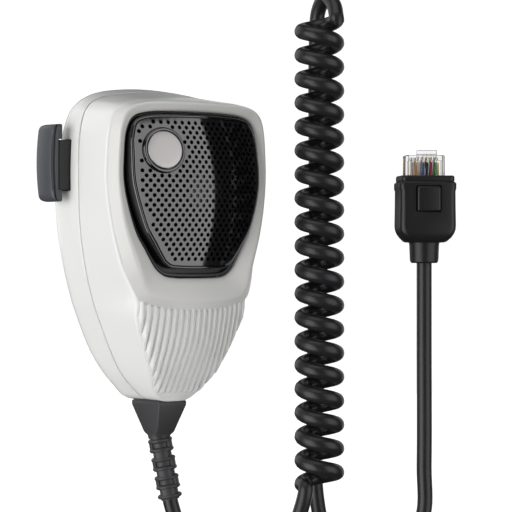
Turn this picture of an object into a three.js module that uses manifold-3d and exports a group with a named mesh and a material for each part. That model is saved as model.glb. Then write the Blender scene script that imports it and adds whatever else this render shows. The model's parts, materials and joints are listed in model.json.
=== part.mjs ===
// Palm microphone for a mobile radio, with a coiled cord and a modular plug.
// Millimetres, +Z up, talk side towards -Y, push-to-talk paddle on the -X side.
// The microphone is drawn with its two shells meeting on y = 0, then the whole part is moved so that the
// origin is the middle of the flat face of the hang-up button on the back.
import * as THREE from 'three';
import { mergeVertices } from 'three/addons/utils/BufferGeometryUtils.js';
import Module from 'manifold-3d';

const wasm = await Module();
wasm.setup();

// ---------------------------------------------------------------- driving dimensions

const WALL = 2.2;                  // shell thickness
const GAP = 0.3;                   // clearance between pieces that touch
const SLIVER = 0.01;
const REAR_DEPTH = 16;             // seam to the flat back
const SEAM_GAP = 0.15;             // half of the groove between the shells
const EDGE_ROUND = 1.2;            // rounding of the front shell's front edge

const RIB_PITCH = 2.07;
const RIB_COUNT = 19;
const RIB_WIDTH = 1.2;
const RIB_PROUD = 0.55;

const BUTTON_HEIGHT = 4.5;         // hang-up button, above the back
const BUTTON_Z = 8;
const BUTTON_RADIUS = 6.5;
const BUTTON_NECK_RADIUS = 3.9;
const BUTTON_HEAD = 2.2;

const BEZEL_GAP = 0.45;            // line between the bezel and the front shell
const BEZEL_SKIRT = 2.2;           // inner wall of the bezel, behind its opening edge

const GRILLE_THICKNESS = 1.2;
const LIP_WIDTH = 0.5;             // dark lip round the grille
const LIP_DROP = 0.8;              // lip behind the bezel's opening edge
const GROOVE_DEPTH = 1.6;
const DOME_INSET = 1.5;            // opening edge to the dome's rim
const FLANGE_REACH = 0.5;          // grille flange behind the front shell, beyond the opening
const CARTRIDGE_Z = 14;
const CARTRIDGE_RADIUS = 4.85;

const BADGE_RADIUS = 5.4;
const BADGE_THICKNESS = 0.9;
const BADGE_X = -14;
const BADGE_Z = 25.3;

const BOARD_FRONT = 11.2;
const BOARD_THICKNESS = 1.4;
const BOARD_SCREWS = [[13.5, -11], [-12, 3]];
const SMALL_SCREW = { headRadius: 2.1, radius: 0.95 };

const TOP_SCREW = { x: 22, z: 35.2, seat: 8.5, tip: -4.6 };
const LOW_SCREW = { x: 11, z: -30, seat: 11, tip: -9 };
const SCREW_HEAD_RADIUS = 2.4;
const SCREW_HEAD_HEIGHT = 1.8;
const SCREW_RADIUS = 1.2;

// Push-to-talk: the paddle's stem passes through the side wall and pushes the leaf of a snap switch
const STEM = { y0: 4, y1: 9.5, z0: 14.3, z1: 28.6 };
const PADDLE = { x0: -35.7, x1: -31.3, y0: 3.9, y1: 12, z0: 10.9, z1: 33.2 };
const PLUNGER = { y: 7, z: 20, tip: -21.05, tail: -18.2, radius: 0.8 };
const SWITCH_FACE = -19.2;
const LEVER_PIVOT = { x: -19.95, z: 26.6 };
const LEVER_LENGTH = 12.4;
const LEVER_LEAN = THREE.MathUtils.degToRad(13.5);

const CORD_RADIUS = 2.25;
const CORD_SIDES = 6;
const CORD_Y = -0.9;               // cord axis where it leaves the case
const CORD_START = -34;            // the jacket ends here, inside the case
const LEAD_RADIUS = 0.45;
const SLEEVE_LEAN = THREE.MathUtils.degToRad(10);
const SLEEVE_BEND = new THREE.Vector3(0, CORD_Y, -57);
const SLEEVE_LENGTH = 19.4;
const SLEEVE_RADIUS = 3;
const SLEEVE_RIB_RADIUS = 3.55;
const SLEEVE_PITCH = 2.75;
const CLAMP_SCREW_X = 5.6;
const CLAMP_Z = -36.8;
const COIL_TURNS = 19.5;
const COIL_STEPS_PER_TURN = 11;
const COIL_RADIUS = 5.15;          // cord centre to coil axis
const COIL_BOTTOM = -72;
const COIL_TOP = 65;

// The microphone is turned from the plane that holds the coil and the plug by this much
const TURN = THREE.MathUtils.degToRad(38.4);
const COIL_OFFSET = 47.8;          // along that plane, from the case's centre line
const PLUG_OFFSET = 78.8;
const PLUG_TURN = THREE.MathUtils.degToRad(-34);

const PLUG_WIDTH = 11.7;
const PLUG_BACK = 3.3;             // half of the plug's thickness
const PLUG_NOSE = 25;
const PLUG_TAIL = 3.5;
const WIRE_PITCH = 1.1;
const WIRE_RADIUS = 0.4;
const LATCH_PIVOT = { y: -4.1, z: 24.8 };
const LATCH_LENGTH = 13.6;
const LATCH_LEAN = THREE.MathUtils.degToRad(6.2);
const BOOT = { front: -7.4, back: 4.6, padFront: -8.5 };
const PAD = { halfWidth: 3.45, z0: 8.4, z1: 15.7 };

// ---------------------------------------------------------------- small tools

const material = (color, roughness, metalness = 0) =>
  new THREE.MeshStandardMaterial({ color, roughness, metalness });

const PALE_PLASTIC = material(0xd8d8d6, 0.3);
const BEZEL_PLASTIC = material(0xc9c9c4, 0.35);
const BLACK_GLOSS = material(0x141416, 0.2);
const DARK_PLASTIC = material(0x55575c, 0.5);
const BLACK_PLASTIC = material(0x1c1c1e, 0.45);
const BLACK_RUBBER = material(0x202124, 0.7);
const CORD_RUBBER = material(0x34353a, 0.65);
const SILVER = material(0xd6d4d2, 0.35, 0.6);
const STEEL = material(0x9a9ca0, 0.35, 0.9);
const GOLD = material(0xc9a24a, 0.3, 1);
const CLOTH = material(0x18181a, 0.95);
const BOARD_GREEN = material(0x1f5b3a, 0.6);
const CLEAR = material(0xdfe4e6, 0.1);

function solidOf(geometry) {
  const bare = new THREE.BufferGeometry();
  bare.setAttribute('position', geometry.getAttribute('position'));
  if (geometry.index) bare.setIndex(geometry.index);
  const merged = mergeVertices(bare, 1e-4);
  return new wasm.Manifold(new wasm.Mesh({
    numProp: 3,
    vertProperties: new Float32Array(merged.getAttribute('position').array),
    triVerts: new Uint32Array(merged.index.array),
  }));
}

// Points closer together than SLIVER are merged, so a cut leaves no needle-thin faces
function geometryOf(solid) {
  const mesh = solid.asOriginal().simplify(SLIVER).getMesh();
  const geometry = new THREE.BufferGeometry();
  geometry.setAttribute('position', new THREE.BufferAttribute(new Float32Array(mesh.vertProperties), 3));
  geometry.setIndex(new THREE.BufferAttribute(new Uint32Array(mesh.triVerts), 1));
  return geometry;
}

const join = (...geometries) =>
  geometryOf(geometries.map(solidOf).reduce((whole, piece) => whole.add(piece)));

const cut = (body, ...tools) =>
  geometryOf(tools.map(solidOf).reduce((left, tool) => left.subtract(tool), solidOf(body)));

const common = (a, b) => geometryOf(solidOf(a).intersect(solidOf(b)));

function block(x0, x1, y0, y1, z0, z1) {
  const geometry = new THREE.BoxGeometry(x1 - x0, y1 - y0, z1 - z0);
  return geometry.translate((x0 + x1) / 2, (y0 + y1) / 2, (z0 + z1) / 2);
}

// A rod along y from y0 to y1
function rod(radius, x, z, y0, y1, sides = 12) {
  return new THREE.CylinderGeometry(radius, radius, y1 - y0, sides).translate(x, (y0 + y1) / 2, z);
}

// A rod along z from z0 to z1
function post(radius, x, y, z0, z1, sides = 12) {
  const geometry = new THREE.CylinderGeometry(radius, radius, z1 - z0, sides).rotateX(Math.PI / 2);
  return geometry.translate(x, y, (z0 + z1) / 2);
}

// A path through closely spaced points, which a sweep follows point by point
class Route extends THREE.Curve {
  constructor(points) {
    super();
    this.points = points;
  }

  getPoint(t) {
    const place = t * (this.points.length - 1);
    const k = Math.min(Math.floor(place), this.points.length - 2);
    return this.points[k].clone().lerp(this.points[k + 1], place - k);
  }

  getTangent(t) {
    const k = Math.round(t * (this.points.length - 1));
    const before = this.points[Math.max(k - 1, 0)];
    const after = this.points[Math.min(k + 1, this.points.length - 1)];
    return after.clone().sub(before).normalize();
  }

  getUtoTmapping(u) {
    return u;
  }
}

function smooth(points, stepsPerSpan) {
  const curve = new THREE.CatmullRomCurve3(points, false, 'centripetal');
  return curve.getPoints(stepsPerSpan * (points.length - 1));
}

function sweep(points, radius, sides) {
  const corners = Array.from({ length: sides }, (_, k) => {
    const angle = (2 * Math.PI * k) / sides;
    return new THREE.Vector2(radius * Math.cos(angle), radius * Math.sin(angle));
  });
  return new THREE.ExtrudeGeometry(new THREE.Shape(corners), {
    steps: points.length - 1, extrudePath: new Route(points), bevelEnabled: false,
  });
}

const tube = (points, radius, sides, stepsPerSpan = 3) => sweep(smooth(points, stepsPerSpan), radius, sides);

// Turns a triangle list into a geometry whose faces point out
function closedGeometry(vertices, triangles) {
  let volume = 0;
  for (const [a, b, c] of triangles) {
    volume += vertices[a].dot(new THREE.Vector3().crossVectors(vertices[b], vertices[c]));
  }
  const faces = volume > 0 ? triangles : triangles.map(([a, b, c]) => [a, c, b]);
  const geometry = new THREE.BufferGeometry().setFromPoints(vertices);
  return geometry.setIndex(faces.flat());
}

function joinRings(triangles, first, second, count) {
  for (let i = 0; i < count; i += 1) {
    const next = (i + 1) % count;
    triangles.push([first + i, second + i, second + next]);
    triangles.push([first + i, second + next, first + next]);
  }
}

// A ring-shaped body whose section is the closed run of rings
function loftRing(rings) {
  const count = rings[0].length;
  const triangles = [];
  rings.forEach((ring, k) => joinRings(triangles, k * count, ((k + 1) % rings.length) * count, count));
  return closedGeometry(rings.flat(), triangles);
}

// Fills a ring with rungs that run from its left side to its right side. depth(x, z, share, edge) gives y.
function fillRing(vertices, triangles, start, count, columns, depth, flip) {
  const half = count / 2;
  const row = (i) => {
    const right = vertices[start + i];
    const left = vertices[start + count - i];
    const line = [start + count - i];
    for (let j = 1; j < columns; j += 1) {
      const share = (2 * j) / columns - 1;
      const point = new THREE.Vector3().lerpVectors(left, right, j / columns);
      point.y = depth(point.x, point.z, share, point.y);
      line.push(vertices.push(point) - 1);
    }
    line.push(start + i);
    return line;
  };
  const add = (a, b, c) => triangles.push(flip ? [a, c, b] : [a, b, c]);
  let above = null;
  for (let i = 1; i < half; i += 1) {
    const here = row(i);
    for (let j = 0; j < columns; j += 1) {
      if (above === null) {
        add(start, here[j], here[j + 1]);
      } else {
        add(above[j], here[j], here[j + 1]);
        add(above[j], here[j + 1], above[j + 1]);
      }
    }
    above = here;
  }
  for (let j = 0; j < columns; j += 1) add(above[j], start + half, above[j + 1]);
}

// A closed body through a stack of rings, from its back fill to its front fill
function loftStack(rings, columns, backDepth, frontDepth) {
  const count = rings[0].length;
  const vertices = rings.flat().map((point) => point.clone());
  const triangles = [];
  for (let k = 0; k + 1 < rings.length; k += 1) joinRings(triangles, k * count, (k + 1) * count, count);
  const last = (rings.length - 1) * count;
  const side = triangles.length;
  fillRing(vertices, triangles, 0, count, columns, backDepth, false);
  if (!sameSense(triangles, side)) flipFrom(triangles, side);
  const front = triangles.length;
  fillRing(vertices, triangles, last, count, columns, frontDepth, true);
  if (!sameSense(triangles, front)) flipFrom(triangles, front);
  return closedGeometry(vertices, triangles);
}

// Two faces that share an edge run along it in opposite directions when they face the same way
function sameSense(triangles, from) {
  const edges = new Set();
  const edgesOf = ([a, b, c]) => [`${a},${b}`, `${b},${c}`, `${c},${a}`];
  triangles.slice(0, from).forEach((triangle) => edgesOf(triangle).forEach((edge) => edges.add(edge)));
  return !triangles.slice(from).some((triangle) => edgesOf(triangle).some((edge) => edges.has(edge)));
}

function flipFrom(triangles, from) {
  for (let k = from; k < triangles.length; k += 1) triangles[k].reverse();
}

// ---------------------------------------------------------------- outlines

// A closed outline from its right half, listed from the top centre to the bottom centre. Each row may carry
// further values after x and z, which are carried along the smooth curve too; the third one is again an x.
function outline(rows, stepsPerRow = 2) {
  const mirror = (row) => row.map((value, n) => (n === 0 || n === 2 ? -value : value));
  const mirrored = rows.slice(1, -1).reverse().map(mirror);
  const loop = [...rows, ...mirrored];
  const at = (k) => loop[(k + loop.length) % loop.length];
  const samples = [];
  loop.forEach((_, k) => {
    for (let step = 0; step < stepsPerRow; step += 1) {
      const t = step / stepsPerRow;
      samples.push(at(k).map((value, n) => catmullRom(at(k - 1)[n], value, at(k + 1)[n], at(k + 2)[n], t)));
    }
  });
  return samples;
}

function catmullRom(before, start, end, after, t) {
  const a = (end - before) / 2;
  const b = (after - start) / 2;
  return start + a * t + (3 * (end - start) - 2 * a - b) * t * t + (2 * (start - end) + a + b) * t * t * t;
}

// Moves each point of a ring inwards in the xz plane
function inset(ring, distance) {
  const count = ring.length;
  return ring.map((point, i) => {
    const before = ring[(i + count - 1) % count];
    const after = ring[(i + 1) % count];
    const along = new THREE.Vector2(after.x - before.x, after.z - before.z).normalize();
    const step = typeof distance === 'function' ? distance(i) : distance;
    return new THREE.Vector3(point.x + along.y * step, point.y, point.z - along.x * step);
  });
}

const withDepth = (ring, depth) => ring.map((p, i) => new THREE.Vector3(p.x, depth(p, i), p.z));

// Case: x and z on the seam, x, z and y on the front edge, rounding of the back edge, swell behind the seam
const CASE_ROWS = [
  [0, 43.4, 0, 40.5, -15.8, 9, 1.2],
  [11.5, 42.7, 11, 40.2, -15.6, 10, 1.2],
  [19.9, 41.3, 18.6, 39.6, -15.1, 12, 1.0],
  [25.3, 38.4, 24.6, 37.7, -14.2, 13, 0.6],
  [27.7, 33.2, 27.2, 33.2, -13.4, 12, 0.2],
  [28.6, 25, 28.2, 25, -13.0, 9.5, 0],
  [28.7, 15, 28.3, 15, -12.9, 7, 0],
  [28.1, 3, 26.6, 3, -13.6, 7.3, 0],
  [26.3, -8, 24.0, -8, -14.8, 8, 0],
  [23.9, -16.8, 20.4, -16.8, -16.6, 8.2, 0],
  [21.9, -22, 20.0, -22.4, -16.0, 8.2, 0],
  [17.4, -31.9, 15.9, -32, -14.2, 8.4, 0],
  [13.5, -38.6, 12.4, -38.6, -12.8, 9.8, 0],
  [9.2, -43.2, 8.9, -43.6, -10.0, 10, 0],
  [5, -46.4, 5, -46.6, -8.9, 9, 0],
  [0, -47, 0, -47, -9.3, 8, 0],
];

// Middle line of the front shell's front face: z and y
const CROWN_ROWS = [
  [41, -15.8], [36, -14.2], [-9, -14.2], [-15, -15.8], [-18, -18.2], [-20.5, -19.2], [-27, -18.3],
  [-32, -16.8], [-37.5, -13.9], [-43, -10.8], [-47, -9.3],
];

const BEZEL_ROWS = [
  [0, 40.5], [11, 40.2], [18.6, 39.6], [24.6, 37.7], [27.2, 33.2], [28.2, 25], [28.3, 15], [26.6, 3],
  [24.0, -8], [21.9, -14], [19.8, -17.1], [16.4, -18.7], [9, -20.0], [0, -20.4],
];

const CREASE_ROWS = [
  [0, 39.4], [11, 39.3], [18.4, 38.9], [23.6, 37.1], [26.2, 33.2], [27.3, 25], [27.3, 15], [25.1, 3],
  [21.0, -8], [19.0, -13.4], [17.0, -15.6], [13.8, -16.6], [8, -17.2], [0, -17.4],
];

const OPENING_ROWS = [
  [0, 36.8], [10, 36.7], [17.0, 36.3], [21.6, 34.8], [23.8, 30.9], [24.5, 25], [24.4, 15], [21.2, 3.2],
  [17.6, -3.3], [15.4, -6.8], [13.8, -8.8], [11.0, -10.5], [7, -11.0], [0, -11.1],
];

const ring = (rows, depth, steps) =>
  outline(rows, steps).map(([x, z]) => new THREE.Vector3(x, depth(x, z), z));

function crownDepth(z) {
  const k = CROWN_ROWS.findIndex((row, i) => i > 0 && z >= row[0]);
  if (k < 0) return CROWN_ROWS[CROWN_ROWS.length - 1][1];
  const [z0, y0] = CROWN_ROWS[k - 1];
  const [z1, y1] = CROWN_ROWS[k];
  return THREE.MathUtils.mapLinear(Math.min(z, z0), z0, z1, y0, y1);
}

const frontFace = (x, z, share, edge) => crownDepth(z) + (edge - crownDepth(z)) * share * share;
const creaseDepth = (x) => -20.2 + (x * x) / 284;
const openingDepth = (x) => -18.6 + (x * x) / 258;
const domeDepth = (x, z) => -23.1 + (x * x) / 130 + ((z - 14) ** 2) / 155;
const caseInnerDepth = (x) => -13.4 + (x * x) / 300;

// ---------------------------------------------------------------- case

// The whole outer or inner surface of the two shells together, moved inwards by the given distance
function caseBody(distance, steps = 2) {
  const samples = outline(CASE_ROWS, steps);
  const seam = inset(samples.map(([x, z]) => new THREE.Vector3(x, 0, z)), distance);
  const edge = inset(samples.map(([, , x, z, y]) => new THREE.Vector3(x, y + distance, z)), distance);
  const round = samples.map((row) => row[5] - distance);
  const swell = samples.map((row) => row[6]);
  const depth = REAR_DEPTH - distance;
  const rearRings = [90, 60, 30, 0].map((degrees) => {
    const angle = THREE.MathUtils.degToRad(degrees);
    const drawn = inset(seam, (i) => round[i] * (1 - Math.cos(angle)) - swell[i]);
    return withDepth(drawn, (p, i) => depth - round[i] * (1 - Math.sin(angle)));
  });
  const nearEdge = seam.map((p, i) => p.clone().lerp(edge[i], 1 - EDGE_ROUND / p.distanceTo(edge[i])));
  const frontRim = withDepth(inset(edge, EDGE_ROUND), (p) => p.y - 0.2);
  const rings = [...rearRings, seam, nearEdge, frontRim];
  const front = (x, z, share, y) => frontFace(x, z, share, y) + distance * (1 - share * share);
  return loftStack(rings, 4, (x, z, share, y) => y, front);
}

const screwPlaces = [TOP_SCREW, LOW_SCREW].flatMap((s) => [{ ...s, x: -s.x }, s]);

function rearHousing() {
  const rearHalf = block(-40, 40, SEAM_GAP, 30, -60, 60);
  const shell = common(cut(caseBody(0), caseBody(WALL, 1)), rearHalf);
  const bosses = screwPlaces.map((s) => rod(3.6, s.x, s.z, SEAM_GAP, s.seat + 2.6));
  const boardPosts = BOARD_SCREWS.map(([x, z]) => rod(2.5, x, z, BOARD_FRONT + BOARD_THICKNESS, 14.5));
  const clampPosts = [-1, 1].map((s) => rod(2.2, s * CLAMP_SCREW_X, CLAMP_Z, 1.6, 14.5));
  const skin = common(caseBody(0), rearHalf);
  const extras = common(join(...bosses, ...boardPosts, ...clampPosts), skin);
  const holes = [
    ...screwPlaces.map((s) => rod(SCREW_RADIUS + 0.2, s.x, s.z, -1, 20)),
    ...screwPlaces.map((s) => rod(SCREW_HEAD_RADIUS + GAP, s.x, s.z, s.seat, 20)),
    ...BOARD_SCREWS.map(([x, z]) => rod(1.1, x, z, 8, 15)),
    ...[-1, 1].map((s) => rod(1.1, s * CLAMP_SCREW_X, CLAMP_Z, 0, 8.3)),
    rod(1.8, 0, BUTTON_Z, 10, 18),
    block(-32, -20, STEM.y0 - GAP, STEM.y1 + GAP, STEM.z0 - GAP, STEM.z1 + GAP),
    block(-4, 4, CORD_Y - 5, CORD_Y + 5, -50, -44),
  ];
  return cut(join(shell, extras), ...holes);
}

function gripRibs() {
  const ribs = [];
  for (let k = 0; k < RIB_COUNT; k += 1) {
    const x = (k - (RIB_COUNT - 1) / 2) * RIB_PITCH;
    const points = CROWN_ROWS.slice(5, -1).map(([z]) => ribPoint(x, z)).filter((p) => p !== null);
    if (points.length > 1) ribs.push(ribBar(x, points));
  }
  return ribs;
}

// Where a rib at x lies on the front face at height z, or null beyond the face's side edge
function ribPoint(x, z) {
  const rows = CASE_ROWS.slice(9);
  const k = rows.findIndex((row, i) => i > 0 && z >= row[3]);
  const reach = THREE.MathUtils.mapLinear(z, rows[k - 1][3], rows[k][3], rows[k - 1][2], rows[k][2]);
  const edge = THREE.MathUtils.mapLinear(z, rows[k - 1][3], rows[k][3], rows[k - 1][4], rows[k][4]);
  if (Math.abs(x) > reach - 1) return null;
  return { z, y: frontFace(x, z, x / reach, edge) };
}

function ribBar(x, points) {
  const front = points.map((p) => new THREE.Vector2(p.y - RIB_PROUD, p.z));
  const back = [...points].reverse().map((p) => new THREE.Vector2(p.y + 1, p.z));
  const bar = new THREE.ExtrudeGeometry(new THREE.Shape([...front, ...back]), {
    depth: RIB_WIDTH, bevelEnabled: false,
  });
  const basis = new THREE.Matrix4().makeBasis(
    new THREE.Vector3(0, 1, 0), new THREE.Vector3(0, 0, 1), new THREE.Vector3(1, 0, 0));
  return bar.applyMatrix4(basis).translate(x - RIB_WIDTH / 2, 0, 0);
}

function frontHousing() {
  const frontHalf = block(-40, 40, -30, -SEAM_GAP, -60, 60);
  const shell = common(cut(caseBody(0), caseBody(WALL, 1)), frontHalf);
  const bosses = screwPlaces.map((s) => rod(3.2, s.x, s.z, s.tip - 2, -SEAM_GAP));
  const skin = common(caseBody(0), frontHalf);
  const extras = common(join(...bosses), skin);
  const openingHole = loftStack(
    [ring(OPENING_ROWS, () => -5), ring(OPENING_ROWS, () => -30)], 4, (x, z, s, y) => y, (x, z, s, y) => y);
  const holes = [
    openingHole,
    ...screwPlaces.map((s) => rod(SCREW_RADIUS + 0.15, s.x, s.z, s.tip - 0.5, 3)),
    block(-4, 4, CORD_Y - 5, CORD_Y + 5, -50, -44),
  ];
  return cut(join(cut(join(shell, ...gripRibs()), openingHole), extras), ...holes);
}

function frontBezel() {
  const base = ring(BEZEL_ROWS, () => 0);
  const edgeY = outline(CASE_ROWS);
  const baseY = (x, z) => baseDepthAt(edgeY, x, z) - BEZEL_GAP;
  const opening = ring(OPENING_ROWS, (x) => openingDepth(x));
  return loftRing([
    withDepth(base, (p) => baseY(p.x, p.z)),
    ring(CREASE_ROWS, (x) => creaseDepth(x)),
    opening,
    withDepth(opening, (p) => p.y + BEZEL_SKIRT),
  ]);
}

// Depth of the front shell's face at a point, from the nearest point of its edge and its middle line
function baseDepthAt(samples, x, z) {
  const onRight = samples.slice(0, samples.length / 2 + 1);
  const k = Math.max(1, onRight.findIndex((row, i) => i > 0 && z >= row[3]));
  const [above, below] = [onRight[k - 1], onRight[k]];
  const share = THREE.MathUtils.clamp((above[3] - z) / Math.max(above[3] - below[3], 1e-6), 0, 1);
  const reach = THREE.MathUtils.lerp(above[2], below[2], share);
  const edge = THREE.MathUtils.lerp(above[4], below[4], share);
  return frontFace(x, z, Math.min(1, Math.abs(x) / Math.max(reach, 1)), edge);
}

// ---------------------------------------------------------------- grille and microphone element

function grille() {
  const opening = ring(OPENING_ROWS, () => 0);
  const at = (distance, depth) => withDepth(inset(opening, distance), (p) => depth(p.x, p.z));
  const lip = (x) => openingDepth(x) + LIP_DROP;
  const floor = (x) => lip(x) + GROOVE_DEPTH;
  const flange = (x) => caseInnerDepth(x) + 2.4;
  const outer = loftStack([
    at(-FLANGE_REACH, (x) => flange(x) + 1.2),
    at(-FLANGE_REACH, flange),
    at(GAP, flange),
    at(GAP, lip),
    at(GAP + LIP_WIDTH, lip),
    at(GAP + LIP_WIDTH, floor),
    at(DOME_INSET, floor),
    at(DOME_INSET, domeDepth),
  ], 6, (x, z, s, y) => y, (x, z) => domeDepth(x, z));
  const rough = inset(ring(OPENING_ROWS, () => 0, 1), DOME_INSET + GRILLE_THICKNESS);
  const inner = loftStack([
    withDepth(rough, (p) => flange(p.x) + 3),
    withDepth(rough, (p) => domeDepth(p.x, p.z) + GRILLE_THICKNESS),
  ], 6, (x, z, s, y) => y, (x, z) => domeDepth(x, z) + GRILLE_THICKNESS);
  const collarOuter = rod(8, 0, CARTRIDGE_Z, -22.6, -15, 20);
  const collarInner = rod(6.9, 0, CARTRIDGE_Z, -21.2, -14, 20);
  return cut(join(cut(outer, inner), collarOuter), collarInner);
}

function dustScreen() {
  const opening = ring(OPENING_ROWS, () => 0, 1);
  const front = GRILLE_THICKNESS + GAP;
  const back = front + 0.4;
  const edge = inset(opening, DOME_INSET + GRILLE_THICKNESS + 0.6);
  const sheet = loftStack([
    withDepth(edge, (p) => domeDepth(p.x, p.z) + back),
    withDepth(edge, (p) => domeDepth(p.x, p.z) + front),
  ], 6, (x, z) => domeDepth(x, z) + back, (x, z) => domeDepth(x, z) + front);
  return cut(sheet, rod(8.4, 0, CARTRIDGE_Z, -30, -10, 20));
}

// A flat disc, tilted to lie on the dome
function badge() {
  const back = domeDepth(BADGE_X, BADGE_Z) - 0.75;
  const tilt = new THREE.Vector3(-2 * BADGE_X / 130, 1, -2 * (BADGE_Z - 14) / 155).normalize();
  const disc = new THREE.CylinderGeometry(BADGE_RADIUS, BADGE_RADIUS, BADGE_THICKNESS, 32);
  disc.applyQuaternion(new THREE.Quaternion().setFromUnitVectors(new THREE.Vector3(0, 1, 0), tilt));
  return disc.translate(BADGE_X, back, BADGE_Z);
}

function cartridgeBoot() {
  const cup = rod(6.6, 0, CARTRIDGE_Z, -20.6, -13, 20);
  const pocket = rod(CARTRIDGE_RADIUS + 0.2, 0, CARTRIDGE_Z, -21, -14.6, 20);
  const leadHoles = [-1, 1].map((s) => rod(0.8, s * 1.3, CARTRIDGE_Z, -16, -12, 8));
  return cut(cup, pocket, ...leadHoles);
}

const micCartridge = () => rod(CARTRIDGE_RADIUS, 0, CARTRIDGE_Z, -20.2, -15.2, 20);

function elementLead(side) {
  const x = side * 1.3;
  const y1 = BOARD_FRONT - GAP;
  return tube([
    new THREE.Vector3(x, -14.9, CARTRIDGE_Z),
    new THREE.Vector3(x, -8, CARTRIDGE_Z),
    new THREE.Vector3(x + side * 1.5, 2, CARTRIDGE_Z - 3),
    new THREE.Vector3(x + side * 1.5, y1, CARTRIDGE_Z - 5.5 + side),
  ], LEAD_RADIUS, 6);
}

// ---------------------------------------------------------------- board and switch

function circuitBoard() {
  const y1 = BOARD_FRONT + BOARD_THICKNESS - 0.1;
  const plate = block(-16, 17, BOARD_FRONT, y1, -15, 28);
  const screwHoles = BOARD_SCREWS.map(([x, z]) => rod(1.3, x, z, 10, 14));
  return cut(plate, ...screwHoles, rod(4.2, 0, BUTTON_Z, 10, 14, 16));
}

// A screw along y, its head on the far side of the seat from the tip
function panScrew(x, z, seat, tip, headRadius = SCREW_HEAD_RADIUS, radius = SCREW_RADIUS) {
  const head = seat > tip
    ? rod(headRadius, x, z, seat, seat + SCREW_HEAD_HEIGHT, 16)
    : rod(headRadius, x, z, seat - SCREW_HEAD_HEIGHT, seat, 16);
  const shank = rod(radius, x, z, Math.min(seat, tip), Math.max(seat, tip), 12);
  const overlap = rod(radius, x, z, seat - 0.4, seat + 0.4, 12);
  return join(head, shank, overlap);
}

function pttSwitch() {
  const body = block(SWITCH_FACE, -12.8, 4.2, BOARD_FRONT - 0.1, 14, 27);
  const pocket = block(-25, -16, PLUNGER.y - 1.1, PLUNGER.y + 1.1, PLUNGER.z - 1.1, PLUNGER.z + 1.1);
  return cut(body, pocket);
}

function plungerRod() {
  const length = PLUNGER.tail - PLUNGER.tip;
  const geometry = new THREE.CylinderGeometry(PLUNGER.radius, PLUNGER.radius, length, 12);
  geometry.rotateZ(Math.PI / 2);
  return geometry.translate((PLUNGER.tip + PLUNGER.tail) / 2, PLUNGER.y, PLUNGER.z);
}

// The leaf hangs from its pivot beside the top of the switch and leans out towards the slider
function switchLever() {
  const leaf = block(-0.15, 0.15, 4.8, 9.2, -LEVER_LENGTH, 0.4);
  const knuckle = rod(0.45, 0, 0, 4.8, 9.2, 10);
  return join(leaf, knuckle).rotateY(LEVER_LEAN).translate(LEVER_PIVOT.x, 0, LEVER_PIVOT.z);
}

function pttSlider() {
  const plateIn = -24.6;
  const nose = -22.8;
  const stem = block(PADDLE.x1 - 1.4, plateIn + 0.5, STEM.y0, STEM.y1, STEM.z0, STEM.z1);
  const plate = block(plateIn, plateIn + 1.2, STEM.y0 - 1, STEM.y1, STEM.z0 - 1.4, STEM.z1 + 1);
  const push = block(plateIn + 0.6, nose, STEM.y0 + 1.6, STEM.y1 - 1.6, 15.6, 18.4);
  return join(stem, plate, push);
}

function pttPaddle() {
  const { x0, x1, y0, y1, z0, z1 } = PADDLE;
  const middle = (z0 + z1) / 2;
  const shape = new THREE.Shape();
  shape.moveTo(x1, z0 + 0.6);
  shape.lineTo(x1, z1 - 0.6);
  shape.lineTo(x1 - 0.6, z1);
  shape.quadraticCurveTo(x0 + 1.5, z1, x0 + 1.3, z1 - 1.8);
  shape.quadraticCurveTo(x0 - 0.6, middle, x0 + 1.3, z0 + 1.8);
  shape.quadraticCurveTo(x0 + 1.5, z0, x1 - 0.6, z0);
  shape.closePath();
  const bevel = 0.8;
  const slab = new THREE.ExtrudeGeometry(shape, {
    depth: y1 - y0 - 2 * bevel, bevelThickness: bevel, bevelSize: bevel, bevelOffset: -bevel,
    bevelSegments: 1, curveSegments: 6,
  });
  slab.rotateX(Math.PI / 2).translate(0, y1 - bevel, 0);
  const pocket = block(x1 - 1.7, x1 + 1, STEM.y0 - GAP, STEM.y1 + GAP, STEM.z0 - GAP, STEM.z1 + GAP);
  return cut(slab, pocket);
}

// ---------------------------------------------------------------- back button, cord exit

function hangUpButton() {
  const top = REAR_DEPTH + BUTTON_HEIGHT;
  const profile = [
    [0, REAR_DEPTH + 0.05], [BUTTON_NECK_RADIUS, REAR_DEPTH + 0.05], [BUTTON_NECK_RADIUS, top - BUTTON_HEAD],
    [BUTTON_RADIUS, top - BUTTON_HEAD + 0.3], [BUTTON_RADIUS, top - 0.5], [BUTTON_RADIUS - 0.5, top],
    [0, top],
  ].map(([r, y]) => new THREE.Vector2(r, y));
  const body = new THREE.LatheGeometry(profile, 28).translate(0, 0, BUTTON_Z);
  return cut(body, rod(1.5, 0, BUTTON_Z, 15, 19));
}

const sleeveDirection = () => new THREE.Vector3(
  Math.cos(TURN) * Math.sin(SLEEVE_LEAN), -Math.sin(TURN) * Math.sin(SLEEVE_LEAN), -Math.cos(SLEEVE_LEAN));

function rectangleRing(width, depth, corner, z, y = 0, perCorner = 3) {
  const points = [];
  [[1, 1], [-1, 1], [-1, -1], [1, -1]].forEach(([sx, sy], quarter) => {
    for (let k = 0; k < perCorner; k += 1) {
      const angle = (quarter + k / (perCorner - 1)) * Math.PI / 2;
      points.push(new THREE.Vector3(
        sx * (width / 2 - corner) + corner * Math.cos(angle),
        y + sy * (depth / 2 - corner) + corner * Math.sin(angle), z));
    }
  });
  return points;
}

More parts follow.
